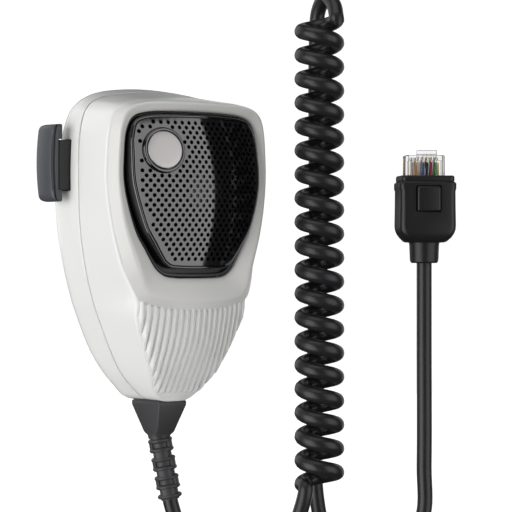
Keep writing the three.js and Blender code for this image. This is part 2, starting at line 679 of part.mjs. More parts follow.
// A closed body through rings that lie in level planes
function loftLevels(rings) {
  const count = rings[0].length;
  const vertices = rings.flat();
  const triangles = [];
  for (let k = 0; k + 1 < rings.length; k += 1) joinRings(triangles, k * count, (k + 1) * count, count);
  const last = (rings.length - 1) * count;
  for (let i = 1; i + 1 < count; i += 1) {
    triangles.push([0, i, i + 1]);
    triangles.push([last, last + i + 1, last + i]);
  }
  return closedGeometry(vertices, triangles);
}

function strainRelief() {
  const funnel = loftLevels([
    rectangleRing(10.3, 13.4, 0.8, -47.2, CORD_Y),
    rectangleRing(10.0, 12.9, 0.8, -48.6, CORD_Y),
    rectangleRing(6.4, 6.8, 1.6, -56.4, CORD_Y),
    rectangleRing(6.2, 6.2, 3.0, -57.6, CORD_Y),
  ]);
  const neck = block(-3.7, 3.7, CORD_Y - 4.7, CORD_Y + 4.7, -47.4, -43);
  const flange = block(-5, 5, CORD_Y - 5.2, CORD_Y + 5.2, -43.6, -42);
  const down = sleeveDirection();
  const profile = [[0, -1], [SLEEVE_RADIUS, -1]];
  for (let start = 1.6; start + SLEEVE_PITCH < SLEEVE_LENGTH + 0.6; start += SLEEVE_PITCH) {
    profile.push([SLEEVE_RADIUS, start], [SLEEVE_RIB_RADIUS, start + 0.2]);
    profile.push([SLEEVE_RIB_RADIUS, start + 1.4], [SLEEVE_RADIUS, start + 1.6]);
  }
  profile.push([SLEEVE_RADIUS, SLEEVE_LENGTH], [0, SLEEVE_LENGTH]);
  const sleeve = new THREE.LatheGeometry(profile.map(([r, y]) => new THREE.Vector2(r, y)), 12);
  sleeve.applyQuaternion(new THREE.Quaternion().setFromUnitVectors(new THREE.Vector3(0, 1, 0), down));
  sleeve.translate(SLEEVE_BEND.x, SLEEVE_BEND.y, SLEEVE_BEND.z);
  const bore = post(CORD_RADIUS + GAP, 0, CORD_Y, SLEEVE_BEND.z - 0.5, CORD_START, 16);
  const lowerBore = new THREE.CylinderGeometry(CORD_RADIUS + GAP, CORD_RADIUS + GAP, SLEEVE_LENGTH + 3, 16);
  lowerBore.translate(0, SLEEVE_LENGTH / 2, 0);
  lowerBore.applyQuaternion(new THREE.Quaternion().setFromUnitVectors(new THREE.Vector3(0, 1, 0), down));
  lowerBore.translate(SLEEVE_BEND.x, SLEEVE_BEND.y, SLEEVE_BEND.z);
  return cut(join(funnel, neck, flange, sleeve), bore, lowerBore);
}

function cordClamp() {
  const saddle = block(-8, 8, -5, 1.3, CLAMP_Z - 1.8, CLAMP_Z + 1.8);
  const bore = post(CORD_RADIUS + GAP, 0, CORD_Y, CLAMP_Z - 3, CLAMP_Z + 3, 12);
  const screwHoles = [-1, 1].map((s) => rod(1.3, s * CLAMP_SCREW_X, CLAMP_Z, -7, 3));
  return cut(saddle, bore, ...screwHoles);
}

// ---------------------------------------------------------------- cord

// A point along the upright plane that holds coil and plug (across), behind that plane (away), and up
function planePoint(across, away, z) {
  const c = Math.cos(TURN);
  const s = Math.sin(TURN);
  return new THREE.Vector3(across * c + away * s, -across * s + away * c, z);
}

function coilPoint(turn) {
  const angle = Math.PI - 2 * Math.PI * turn;
  const z = COIL_BOTTOM + (COIL_TOP - COIL_BOTTOM) * (turn / COIL_TURNS);
  return planePoint(COIL_OFFSET + COIL_RADIUS * Math.cos(angle), COIL_RADIUS * Math.sin(angle), z);
}

// Inside the case, through the strain relief, and down its leaning sleeve
const cordExit = (start) => [
  new THREE.Vector3(0, CORD_Y, start),
  new THREE.Vector3(0, CORD_Y, -50),
  SLEEVE_BEND.clone().add(new THREE.Vector3(0, 0, 1.5)),
  SLEEVE_BEND.clone().addScaledVector(sleeveDirection(), 1.5),
  SLEEVE_BEND.clone().addScaledVector(sleeveDirection(), 6),
  SLEEVE_BEND.clone().addScaledVector(sleeveDirection(), 13),
  SLEEVE_BEND.clone().addScaledVector(sleeveDirection(), SLEEVE_LENGTH + 2),
];

function coiledCord() {
  const lead = [
    ...cordExit(CORD_START),
    planePoint(8.2, 0, -88),
    planePoint(16, 0, -96.5),
    planePoint(26, 0, -98.5),
    planePoint(36, -0.5, -93),
    planePoint(41, -1.5, -83),
    coilPoint(-0.1),
  ];
  const steps = Math.round(COIL_TURNS * COIL_STEPS_PER_TURN);
  const coil = Array.from({ length: steps + 1 }, (_, k) => coilPoint((k * COIL_TURNS) / steps));
  const back = [
    planePoint(COIL_OFFSET + 4.6, 3.5, COIL_TOP + 4.5),
    planePoint(COIL_OFFSET + 2.6, 8, COIL_TOP + 7.5),
    planePoint(COIL_OFFSET + 0.6, 12, COIL_TOP + 4),
    planePoint(COIL_OFFSET, 13.5, COIL_TOP - 4),
    planePoint(COIL_OFFSET, 13.5, 0),
    planePoint(COIL_OFFSET, 13.5, COIL_BOTTOM - 4),
    planePoint(COIL_OFFSET + 3, 12, -88),
    planePoint(COIL_OFFSET + 12, 7, -96.5),
    planePoint(COIL_OFFSET + 23, 2, -94.5),
    planePoint(PLUG_OFFSET - 0.5, 0, -82),
    planePoint(PLUG_OFFSET, 0, -66),
    planePoint(PLUG_OFFSET, 0, -30),
    planePoint(PLUG_OFFSET, 0, 2.2),
  ];
  const leadIn = smooth([...lead, coil[0]], 2).slice(0, -1);
  const leadOut = smooth([coil.at(-1), ...back], 2).slice(1);
  return sweep([...leadIn, ...coil, ...leadOut], CORD_RADIUS, CORD_SIDES);
}

function cordLead(k) {
  const spread = (k - 1.5) * 2.2;
  const start = (k - 1.5) * 1.05;
  return tube([
    new THREE.Vector3(start, CORD_Y, CORD_START + GAP),
    new THREE.Vector3(start * 1.2, CORD_Y + 0.4, -30),
    new THREE.Vector3(spread, 3, -22),
    new THREE.Vector3(spread, 6.5, -17.5),
    new THREE.Vector3(spread, 7, -14.4),
  ], LEAD_RADIUS, 6);
}

// ---------------------------------------------------------------- plug

// The plug is drawn in its own frame: nose up, latch towards -y

const wireX = Array.from({ length: 8 }, (_, k) => (k - 3.5) * WIRE_PITCH);

function plugBody() {
  const half = PLUG_WIDTH / 2;
  const hull = block(-half, half, -PLUG_BACK, PLUG_BACK, PLUG_TAIL, PLUG_NOSE);
  const wireRoom = block(-5.1, 5.1, -1.4, 0.7, PLUG_TAIL - 1, PLUG_NOSE - 1.6);
  const slots = wireX.map((x) => block(x - 0.32, x + 0.32, 1.1, PLUG_BACK + 1, 18, PLUG_NOSE - 0.8));
  return cut(hull, wireRoom, ...slots);
}

const plugContact = (x) => block(x - 0.16, x + 0.16, 1.4, PLUG_BACK - 0.3, 18.3, PLUG_NOSE - 1.1);

function plugWire(k) {
  const row = k % 2 === 0 ? -0.5 : 0.5;
  const bundle = (k - 3.5) * 0.46;
  return tube([
    new THREE.Vector3(wireX[k], -0.35, PLUG_NOSE - 2.2),
    new THREE.Vector3(wireX[k], -0.35, 12),
    new THREE.Vector3(wireX[k] * 0.8, -0.35 + row * 0.4, 7.5),
    new THREE.Vector3(bundle, row - 0.35, 2.9),
  ], WIRE_RADIUS, 6, 2);
}

function plugLatch() {
  const blade = block(-3, 3, -0.4, 0.4, -6.5, 1.6);
  const tail = block(-1.9, 1.9, -0.4, 0.4, -LATCH_LENGTH, -6);
  return join(blade, tail).rotateX(-LATCH_LEAN).translate(0, LATCH_PIVOT.y, LATCH_PIVOT.z);
}

function plugBoot() {
  const middle = (BOOT.front + BOOT.back) / 2;
  const thick = BOOT.back - BOOT.front;
  const outer = loftLevels([
    rectangleRing(15.4, thick - 0.8, 1.2, 18.8, middle, 4),
    rectangleRing(15.8, thick - 0.4, 1.4, 18.2, middle, 4),
    rectangleRing(15.8, thick - 0.4, 1.4, 17.2, middle, 4),
    rectangleRing(16.9, thick, 1.6, 16.4, middle, 4),
    rectangleRing(16.9, thick, 1.6, 2.4, middle, 4),
    rectangleRing(15.8, thick - 0.8, 2.2, 1.2, middle, 4),
    rectangleRing(12.0, 10.4, 3.6, -0.6, middle * 0.5, 4),
    rectangleRing(8.8, 8.8, 4.4, -1.6, 0, 4),
    rectangleRing(8.8, 8.8, 4.4, -6.8, 0, 4),
  ]);
  const cavity = block(-6.15, 6.15, -6.2, PLUG_BACK + GAP, 2.8, 20);
  const window = block(-PAD.halfWidth - GAP, PAD.halfWidth + GAP, -12, -5, PAD.z0 - GAP, PAD.z1 + GAP);
  return cut(outer, cavity, window, post(2.6, 0, 0, -10, 4, 12));
}

function releasePad() {
  return block(-PAD.halfWidth, PAD.halfWidth, BOOT.padFront, -6.25, PAD.z0, PAD.z1);
}

// ---------------------------------------------------------------- assembly

const microphone = new THREE.Group();
microphone.position.set(0, -(REAR_DEPTH + BUTTON_HEIGHT), -BUTTON_Z);

const plug = new THREE.Group();
plug.position.copy(planePoint(PLUG_OFFSET, 0, 0));
plug.rotation.z = PLUG_TURN;
microphone.add(plug);

function add(group, name, geometry, look) {
  const mesh = new THREE.Mesh(geometry, look);
  mesh.name = name;
  group.add(mesh);
}

add(microphone, 'rear_housing', rearHousing(), PALE_PLASTIC);
add(microphone, 'front_housing', frontHousing(), PALE_PLASTIC);
add(microphone, 'front_bezel', frontBezel(), BEZEL_PLASTIC);
add(microphone, 'grille', grille(), BLACK_GLOSS);
add(microphone, 'dust_screen', dustScreen(), CLOTH);
add(microphone, 'badge_disc', badge(), SILVER);
add(microphone, 'cartridge_boot', cartridgeBoot(), BLACK_RUBBER);
add(microphone, 'mic_cartridge', micCartridge(), STEEL);
[-1, 1].forEach((side, k) => add(microphone, `element_lead_${k + 1}`, elementLead(side), CORD_RUBBER));
screwPlaces.forEach((s, k) => {
  add(microphone, `housing_screw_${k + 1}`, panScrew(s.x, s.z, s.seat + 0.1, s.tip), STEEL);
});

add(microphone, 'circuit_board', circuitBoard(), BOARD_GREEN);
BOARD_SCREWS.forEach(([x, z], k) => {
  const screw = panScrew(x, z, BOARD_FRONT - 0.1, 14.6, SMALL_SCREW.headRadius, SMALL_SCREW.radius);
  add(microphone, `board_screw_${k + 1}`, screw, STEEL);
});
add(microphone, 'preamp_chip', block(7, 12, BOARD_FRONT - 1.8, BOARD_FRONT - 0.1, 0, 4), BLACK_PLASTIC);
add(microphone, 'board_capacitor', rod(2.5, 12, 22, 4, BOARD_FRONT - 0.1, 20), STEEL);
add(microphone, 'cord_connector', block(-5.5, 5.5, 5, BOARD_FRONT - 0.1, -14, -8), PALE_PLASTIC);
add(microphone, 'ptt_switch', pttSwitch(), BLACK_PLASTIC);
add(microphone, 'ptt_switch_plunger', plungerRod(), BLACK_PLASTIC);
add(microphone, 'ptt_switch_lever', switchLever(), STEEL);
add(microphone, 'ptt_slider', pttSlider(), BLACK_PLASTIC);
add(microphone, 'ptt_paddle', pttPaddle(), DARK_PLASTIC);

add(microphone, 'hang_up_button', hangUpButton(), BLACK_PLASTIC);
add(microphone, 'hang_up_screw', panScrew(0, BUTTON_Z, 13.7, 18.6, 3.2, 1.3), STEEL);
add(microphone, 'strain_relief', strainRelief(), DARK_PLASTIC);
add(microphone, 'cord_clamp', cordClamp(), BLACK_PLASTIC);
[-1, 1].forEach((side, k) => {
  const screw = panScrew(side * CLAMP_SCREW_X, CLAMP_Z, -5.1, 8, SMALL_SCREW.headRadius, SMALL_SCREW.radius);
  add(microphone, `cord_clamp_screw_${k + 1}`, screw, STEEL);
});
add(microphone, 'coiled_cord', coiledCord(), CORD_RUBBER);
for (let k = 0; k < 4; k += 1) add(microphone, `cord_lead_${k + 1}`, cordLead(k), CORD_RUBBER);

add(plug, 'plug_body', plugBody(), CLEAR);
add(plug, 'plug_latch', plugLatch(), CLEAR);
add(plug, 'plug_boot', plugBoot(), BLACK_RUBBER);
add(plug, 'boot_release_pad', releasePad(), BLACK_RUBBER);
wireX.forEach((x, k) => add(plug, `plug_contact_${k + 1}`, plugContact(x), GOLD));
wireX.forEach((x, k) => add(plug, `plug_wire_${k + 1}`, plugWire(k), CORD_RUBBER));

const part = new THREE.Group();
part.add(microphone);

export default part;
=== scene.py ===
"""Looks of a palm microphone with a coiled cord and a booted modular plug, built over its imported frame."""
import json
import math

import bmesh
import bpy
from mathutils import Matrix, Vector
from mathutils.geometry import delaunay_2d_cdt

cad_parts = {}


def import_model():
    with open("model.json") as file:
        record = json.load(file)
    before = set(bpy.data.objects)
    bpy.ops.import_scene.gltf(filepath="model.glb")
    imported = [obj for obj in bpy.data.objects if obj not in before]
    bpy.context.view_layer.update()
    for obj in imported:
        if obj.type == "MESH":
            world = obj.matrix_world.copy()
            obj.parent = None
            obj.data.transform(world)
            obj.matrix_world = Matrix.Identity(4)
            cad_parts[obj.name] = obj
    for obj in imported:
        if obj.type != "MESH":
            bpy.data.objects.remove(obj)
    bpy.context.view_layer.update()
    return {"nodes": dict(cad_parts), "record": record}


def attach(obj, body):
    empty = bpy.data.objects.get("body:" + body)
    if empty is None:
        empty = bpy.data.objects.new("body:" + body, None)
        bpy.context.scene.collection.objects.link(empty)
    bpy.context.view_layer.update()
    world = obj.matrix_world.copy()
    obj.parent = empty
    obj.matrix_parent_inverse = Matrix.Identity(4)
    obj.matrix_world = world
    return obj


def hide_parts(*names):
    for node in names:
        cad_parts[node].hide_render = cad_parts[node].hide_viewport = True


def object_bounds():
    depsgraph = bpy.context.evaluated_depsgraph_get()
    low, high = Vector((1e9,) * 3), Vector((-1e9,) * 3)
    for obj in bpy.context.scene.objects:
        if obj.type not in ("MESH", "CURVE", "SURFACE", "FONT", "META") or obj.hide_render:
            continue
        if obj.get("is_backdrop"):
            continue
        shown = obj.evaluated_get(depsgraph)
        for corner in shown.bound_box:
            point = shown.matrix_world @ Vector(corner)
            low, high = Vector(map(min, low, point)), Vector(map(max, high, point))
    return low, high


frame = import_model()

# ---- dimensions, in millimetres
# The microphone is described with its two shells meeting on y = 0 and the talk side towards -y.

SEAM_ORIGIN = Vector((0, -20.5, -8))  # where that description's origin lies in the frame
WALL = 2.2
GAP = 0.3  # between a piece and the opening it sits in
SEAM_GAP = 0.15
REAR_DEPTH = 16
EDGE_ROUND = 1.2
CASE_STEPS = 8  # points from one case row to the next
FACE_COLUMNS = 32
BACK_REACH = 17  # outline points either side that set the back edge's direction
BUTTON_Z = 8
BUTTON_TOP = 20.5
BUTTON_NECK = 3.9
BUTTON_EDGE = 5.9  # middle of the rounding at the head's edge
SCREW_CORE = 1.0
SCREW_THREAD = 1.2
SCREW_PITCH = 0.9
SCREW_HEAD = 2.4
POST_RADIUS = 3.6
BEZEL_STEP = 0.42  # how far the bezel's foot stands before the shell's face
BEZEL_DEPTH = 2.2

RIB_PITCH = 2.07
RIB_COUNT = 19
RIB_WIDTH = 1.75
RIB_PROUD = 0.72
RIB_MARGIN = 0.2
RIB_SIDE_FADE = 0.9
RIB_TOP = -17.6
RIB_BOTTOM = -44.4

DOME_PROUD = 23.1  # the dome's top stands this far before the seam
DOME_MIDDLE = 14
DOME_ACROSS = 130  # twice its radius of curvature across, and up
DOME_UP = 155
DOME_GAP = 1.0  # opening edge to the dome's rim at the top
DOME_GAP_LOW = 2.6  # and at the bottom
LIP_SHARE = 0.4  # share of that gap that the lip takes up
LIP_START = 0.3
LIP_DROP = 0.8
GROOVE_DEPTH = 1.6
BEAD_RADIUS = 0.38
HOLE_RADIUS = 0.6
HOLE_PITCH = 2.31
HOLE_ROW = 1.39
HOLE_MIDDLE = 13.9
HOLE_SIDES = 14
SHEET = 0.8
FACE_INSET = 1.0  # dome's rim to the perforated face
BADGE_RADIUS = 5.4
BADGE_RING = 6.5
BADGE_X = -14.0
BADGE_Z = 25.3

PADDLE = {"x0": -35.7, "x1": -31.3, "y0": 3.9, "y1": 12, "z0": 10.9, "z1": 33.2}
STEM = {"x0": -32.7, "x1": -24.1, "y0": 4, "y1": 9.5, "z0": 14.3, "z1": 28.6}

TURN = math.radians(38.4)  # between the microphone and the plane of coil and plug
CORD_RADIUS = 2.25
CORD_Y = -0.9
CORD_START = -34
SLEEVE_LEAN = math.radians(10)
SLEEVE_BEND = Vector((0, CORD_Y, -57))
SLEEVE_LENGTH = 19.4
SLEEVE_PITCH = 2.75
SLEEVE_START = 1.8  # first rib's middle
SLEEVE_BORE = 2.4
SLEEVE_TUBE = 2.7
WEB_RADIUS = 3.4
WEB_START = math.radians(150)
WEB_SPAN = math.radians(85)
COIL_TURNS = 19.5
COIL_STEPS = 26
COIL_RADIUS = 5.15
COIL_BOTTOM = -72
COIL_TOP = 65
COIL_OFFSET = 47.8
PLUG_OFFSET = 78.8
PLUG_TURN = math.radians(-34)
PLUG_WIDTH = 11.7
PLUG_BACK = 3.3
PLUG_NOSE = 25
PLUG_TAIL = 3.5
WIRE_PITCH = 1.1
SLOT_HALF = 0.32  # half width of a contact's slot
WIRE_RADIUS = 0.46
BOOT_MIDDLE = -1.4
BOOT_CAVITY = 6.2  # depth of the boot's room before the plug's middle
PAD_HALF = 3.45
PAD_LOW = 8.4
PAD_HIGH = 15.7
LATCH_PIVOT = Vector((0, -4.1, 24.8))
LATCH_LEAN = math.radians(6.2)

CAMERA_DISTANCE = 700
CAMERA_ACROSS = 29.1  # aim point, to the right of the case's middle
CAMERA_Z = -4.7
CAMERA_LENS = 167.3

LIGHT_AIM = Vector((0, -20, 0))
WORLD_LIGHT = 0.03
PAPER_GLOW = 0.1
PAPER_GLOW_SEEN = 0.9
PAPER_START = 900  # where the floor starts to curve up
PAPER_BEND = 500
PAPER_REACH = 3000
PAPER_SIDE = 3500

SCREW_PLACES = [(-22, 35.2, 8.6), (22, 35.2, 8.6), (-11, -30, 11.1), (11, -30, 11.1)]

# Case: x and z on the seam, x, z and y on the front edge, rounding of the back edge, swell behind the seam
CASE_ROWS = [
    (0, 43.4, 0, 40.5, -15.8, 9, 1.2),
    (11.5, 42.7, 11, 40.2, -15.6, 10, 1.2),
    (19.9, 41.3, 18.6, 39.6, -15.1, 12, 1.0),
    (25.3, 38.4, 24.6, 37.7, -14.2, 13, 0.6),
    (27.7, 33.2, 27.2, 33.2, -13.4, 12, 0.2),
    (28.6, 25, 28.2, 25, -13.0, 9.5, 0),
    (28.7, 15, 28.3, 15, -12.9, 7, 0),
    (28.1, 3, 26.6, 3, -13.6, 7.3, 0),
    (26.3, -8, 24.0, -8, -14.8, 8, 0),
    (23.9, -16.8, 20.4, -16.8, -16.6, 8.2, 0),
    (21.9, -22, 20.0, -22.4, -16.0, 8.2, 0),
    (17.4, -31.9, 15.9, -32, -14.2, 8.4, 0),
    (13.5, -38.6, 12.4, -38.6, -12.8, 9.8, 0),
    (9.2, -43.2, 8.9, -43.6, -10.0, 10, 0),
    (5, -46.4, 5, -46.6, -8.9, 9, 0),
    (0, -47, 0, -47, -9.3, 8, 0),
]

# Middle line of the front face: z and y
CROWN_ROWS = [
    (41, -15.8), (36, -14.2), (-9, -14.2), (-15, -15.8), (-18, -18.2), (-20.5, -19.2), (-27, -18.3),
    (-32, -16.8), (-37.5, -13.9), (-43, -10.8), (-47, -9.3),
]

BEZEL_ROWS = [
    (0, 40.5), (11, 40.2), (18.6, 39.6), (24.6, 37.7), (27.2, 33.2), (28.2, 25), (28.3, 15), (26.6, 3),
    (24.0, -8), (21.9, -14), (19.8, -17.1), (16.4, -18.7), (9, -20.0), (0, -20.4),
]

CREASE_ROWS = [
    (0, 39.4), (11, 39.3), (18.4, 38.9), (23.6, 37.1), (26.2, 33.2), (27.3, 25), (27.3, 15), (25.1, 3),
    (21.0, -8), (19.0, -13.4), (17.0, -15.6), (13.8, -16.6), (8, -17.2), (0, -17.4),
]

OPENING_ROWS = [
    (0, 36.8), (10, 36.7), (17.0, 36.3), (21.6, 34.8), (23.8, 30.9), (24.5, 25), (24.4, 15), (21.2, 3.2),
    (17.6, -3.3), (15.4, -6.8), (13.8, -8.8), (11.0, -10.5), (7, -11.0), (0, -11.1),
]

# ---- placing and building meshes


def in_microphone(point):
    return (Vector(point) + SEAM_ORIGIN) / 1000


def plane_point(across, away, z):
    """A point along the upright plane of coil and plug, behind that plane, and up."""
    c = math.cos(TURN)
    s = math.sin(TURN)
    return Vector((across * c + away * s, -across * s + away * c, z))


def in_plug(point):
    turned = Matrix.Rotation(PLUG_TURN, 3, "Z") @ Vector(point)
    return in_microphone(turned + plane_point(PLUG_OFFSET, 0, 0))


def mesh_object(name, verts, faces, place=in_microphone):
    mesh = bpy.data.meshes.new(name)
    mesh.from_pydata([place(v) for v in verts], [], faces)
    work = bmesh.new()
    work.from_mesh(mesh)
    bmesh.ops.remove_doubles(work, verts=work.verts, dist=1e-6)
    bmesh.ops.recalc_face_normals(work, faces=work.faces)
    work.to_mesh(mesh)
    work.free()
    obj = bpy.data.objects.new(name, mesh)
    bpy.context.scene.collection.objects.link(obj)
    return obj


def merged(name, objects):
    """One object from several, which are removed."""
    work = bmesh.new()
    for obj in objects:
        work.from_mesh(obj.data)
    mesh = bpy.data.meshes.new(name)
    work.to_mesh(mesh)
    work.free()
    for obj in objects:
        bpy.data.objects.remove(obj)
    joined = bpy.data.objects.new(name, mesh)
    bpy.context.scene.collection.objects.link(joined)
    return joined


def carve(obj, cutters, operation="DIFFERENCE"):
    """Cuts the cutters out of obj, or adds them to it, and removes them."""
    for cutter in cutters:
        step = obj.modifiers.new("carve", "BOOLEAN")
        step.operation = operation
        step.solver = "EXACT"
        step.object = cutter
    graph = bpy.context.evaluated_depsgraph_get()
    mesh = bpy.data.meshes.new_from_object(obj.evaluated_get(graph))
    obj.modifiers.clear()
    obj.data = mesh
    for cutter in cutters:
        bpy.data.objects.remove(cutter)
    return obj


def finish_piece(obj, node, slot, body="microphone", sharp=34, look=None):
    """Shades obj, gives it the slot's look unless another is named, and puts it in the node's place."""
    obj.data.shade_smooth()
    obj.data.set_sharp_from_angle(angle=math.radians(sharp))
    obj.data.materials.clear()
    obj.data.materials.append(look or LOOKS[slot])
    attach(obj, body)
    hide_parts(node)


def loft(rings, closed=False, caps=True):
    """Verts and faces through rings of equal count. A closed loft joins its last ring to its first."""
    count = len(rings[0])
    verts = [p for ring in rings for p in ring]
    faces = []
    spans = len(rings) if closed else len(rings) - 1
    for k in range(spans):
        first = k * count
        second = ((k + 1) % len(rings)) * count
        for i in range(count):
            j = (i + 1) % count
            faces.append((first + i, first + j, second + j, second + i))
    if caps and not closed:
        faces.append(tuple(range(count)))
        faces.append(tuple(range(len(verts) - 1, len(verts) - count - 1, -1)))
    return verts, faces


def spokes(sides):
    """Cosine and sine at equal steps round a full turn."""
    angles = [2 * math.pi * k / sides for k in range(sides)]
    return [(math.cos(a), math.sin(a)) for a in angles]


def lathe(profile, sides, axis_point=(0, 0, 0), axis=(0, 1, 0)):
    """A solid of revolution. profile holds (radius, along), and starts and ends on the axis."""
    turn = Vector((0, 0, 1)).rotation_difference(Vector(axis))
    base = Vector(axis_point)
    rings = []
    for radius, along in profile:
        radius = max(radius, 1e-4)
        rings.append([base + turn @ Vector((radius * c, radius * s, along)) for c, s in spokes(sides)])
    return loft(rings)


def arc(cx, cy, radius, start, end, steps):
    """Points of a circular arc, angles in degrees."""
    points = []
    for k in range(steps + 1):
        a = math.radians(start + (end - start) * k / steps)
        points.append((cx + radius * math.cos(a), cy + radius * math.sin(a)))
    return points


def rounded_rectangle(width, depth, corner, steps):
    """Points round a rectangle with rounded corners, centred on the origin."""
    points = []
    for quarter, (sx, sy) in enumerate([(1, 1), (-1, 1), (-1, -1), (1, -1)]):
        start = quarter * 90
        cx = sx * (width / 2 - corner)
        cy = sy * (depth / 2 - corner)
        points += arc(cx, cy, corner, start, start + 90, steps)
    return points


def level_ring(width, depth, corner, z, y, steps):
    """A rounded rectangle at height z whose middle is at y."""
    return [(px, py + y, z) for px, py in rounded_rectangle(width, depth, corner, steps)]


def rounded_box(name, x0, x1, y0, y1, z0, z1, corner=0.5, steps=3, place=in_microphone):
    """A box whose twelve edges are all rounded."""
    levels = arc(corner, z0 + corner, corner, -90, -180, steps)
    levels += arc(corner, z1 - corner, corner, 180, 90, steps)
    cx = (x0 + x1) / 2
    cy = (y0 + y1) / 2
    rings = []
    for shrink, z in levels:
        width = x1 - x0 - 2 * shrink
        depth = y1 - y0 - 2 * shrink
        round_here = max(corner - shrink, 0.02)
        rings.append([(cx + x, cy + y, z) for x, y in rounded_rectangle(width, depth, round_here, steps)])
    return mesh_object(name, *loft(rings), place=place)


def hermite(start, end, leave, arrive, t):
    """A cubic from start to end that leaves and arrives with the given slopes."""
    cubic = (2 * (start - end) + leave + arrive) * t ** 3
    return start + leave * t + (3 * (end - start) - 2 * leave - arrive) * t ** 2 + cubic


def smooth_path(points, steps):
    """A centripetal Catmull-Rom curve through the points, sampled evenly within each span."""
    path = []
    last = len(points) - 1
    for k in range(last):
        p1 = points[k]
        p2 = points[k + 1]
        p0 = points[k - 1] if k > 0 else 2 * p1 - p2
        p3 = points[k + 2] if k + 2 <= last else 2 * p2 - p1
        d0 = math.sqrt((p1 - p0).length)
        d1 = math.sqrt((p2 - p1).length)
        d2 = math.sqrt((p3 - p2).length)
        t1 = ((p1 - p0) / d0 - (p2 - p0) / (d0 + d1) + (p2 - p1) / d1) * d1
        t2 = ((p2 - p1) / d1 - (p3 - p1) / (d1 + d2) + (p3 - p2) / d2) * d1
        path += [hermite(p1, p2, t1, t2, step / steps) for step in range(steps)]
    path.append(points[-1])
    return path


def sweep(path, radius, sides):
    """A round bar along a path, its ring turned as little as possible from step to step."""
    rings = []
    tangent = (path[1] - path[0]).normalized()
    across = tangent.orthogonal().normalized()
    for k, point in enumerate(path):
        after = path[min(k + 1, len(path) - 1)]
        before = path[max(k - 1, 0)]
        now = (after - before).normalized()
        across = tangent.rotation_difference(now) @ across
        across = (across - now * across.dot(now)).normalized()
        tangent = now
        up = now.cross(across)
        rings.append([point + radius * (c * across + s * up) for c, s in spokes(sides)])
    return loft(rings)


# ---- outlines of the case


def catmull_rom(before, start, end, after, t):
    return hermite(start, end, (end - before) / 2, (after - start) / 2, t)


def outline(rows, steps):
    """A smooth closed outline from its right half, listed from top centre to bottom centre."""
    mirrored = [tuple(-v if n in (0, 2) else v for n, v in enumerate(row)) for row in rows[-2:0:-1]]
    ring = list(rows) + mirrored
    count = len(ring)
    samples = []
    for k in range(count):
        near = [ring[(k + shift) % count] for shift in (-1, 0, 1, 2)]
        for step in range(steps):
            t = step / steps
            samples.append([catmull_rom(*column, t) for column in zip(*near)])
    return samples


def inset(ring, distance, reach=1):
    """Moves each point of a ring inwards in the xz plane, square to the line between the points that
    lie reach places before and after it. distance is a number or a list."""
    count = len(ring)
    moved = []
    for i, point in enumerate(ring):
        before = ring[i - reach]
        after = ring[(i + reach) % count]
        dx = after[0] - before[0]
        dz = after[2] - before[2]
        length = math.hypot(dx, dz)
        step = distance[i] if isinstance(distance, list) else distance
        moved.append((point[0] + dz / length * step, point[1], point[2] - dx / length * step))
    return moved


def blend_rings(a, b, t):
    return [tuple(p + (q - p) * t for p, q in zip(u, v)) for u, v in zip(a, b)]


def bend_rings(start, corner, end, steps):
    """Rings along a quadratic curve from start to end, drawn towards the corner ring."""
    rings = []
    for k in range(steps + 1):
        t = k / steps
        rings.append(blend_rings(blend_rings(start, corner, t), blend_rings(corner, end, t), t))
    return rings


def at_depth(ring, depth):
    return [(x, depth(x, z), z) for x, _, z in ring]


def flat_outline(rows, steps):
    return [(x, 0, z) for x, z in outline(rows, steps)]


def crown_depth(z):
    """Middle line of the front face, rounded over a few millimetres where its slope changes."""
    spread = (-1.2, -0.4, 0.4, 1.2)
    return sum(crown_line(z + shift) for shift in spread) / len(spread)


def crown_line(z):
    if z >= CROWN_ROWS[0][0]:
        return CROWN_ROWS[0][1]
    for (z0, y0), (z1, y1) in zip(CROWN_ROWS, CROWN_ROWS[1:]):
        if z >= z1:
            return y0 + (y1 - y0) * (z0 - z) / (z0 - z1)
    return CROWN_ROWS[-1][1]


def front_face(z, share, edge):
    crown = crown_depth(z)
    return crown + (edge - crown) * share * share


def inner_face(z, share, edge):
    """The inner side of the front face, thickest at its middle line."""
    return front_face(z, share, edge) + 2 * (1 - share ** 2)


def crease_depth(x, z=0):
    return -20.2 + x * x / 284


def opening_depth(x, z=0):
    return -18.6 + x * x / 258


def dome_depth(x, z):
    return -DOME_PROUD + x * x / DOME_ACROSS + (z - DOME_MIDDLE) ** 2 / DOME_UP


def rung_fill(verts, faces, start, count, columns, depth):
    """Fills the ring that starts at verts[start] with rungs from its left side to its right side."""
    half = count // 2
    above = None
    for i in range(1, half):
        right = verts[start + i]
        left = verts[start + count - i]
        line = [start + count - i]
        for j in range(1, columns):
            share = 2 * j / columns - 1
            x, y, z = (a + (b - a) * j / columns for a, b in zip(left, right))
            verts.append((x, depth(z, share, y), z))
            line.append(len(verts) - 1)
        line.append(start + i)
        for j in range(columns):
            if above is None:
                faces.append((start, line[j], line[j + 1]))
            else:
                faces.append((above[j], line[j], line[j + 1], above[j + 1]))
        above = line
    for j in range(columns):
        faces.append((above[j], start + half, above[j + 1]))


# ---- materials


def node_material(name, colour, roughness, metallic=0.0):
    """A principled material with its object coordinates, ready for a pattern."""
    look = bpy.data.materials.new(name)
    look.use_nodes = True
    tree = look.node_tree
    shader = tree.nodes["Principled BSDF"]
    shader.inputs["Base Color"].default_value = (*colour, 1)
    shader.inputs["Roughness"].default_value = roughness
    shader.inputs["Metallic"].default_value = metallic
    place = tree.nodes.new("ShaderNodeTexCoord")
    return look, tree, shader, place


def add_node(tree, kind, values):
    node = tree.nodes.new(kind)
    for name, value in values.items():
        node.inputs[name].default_value = value
    return node


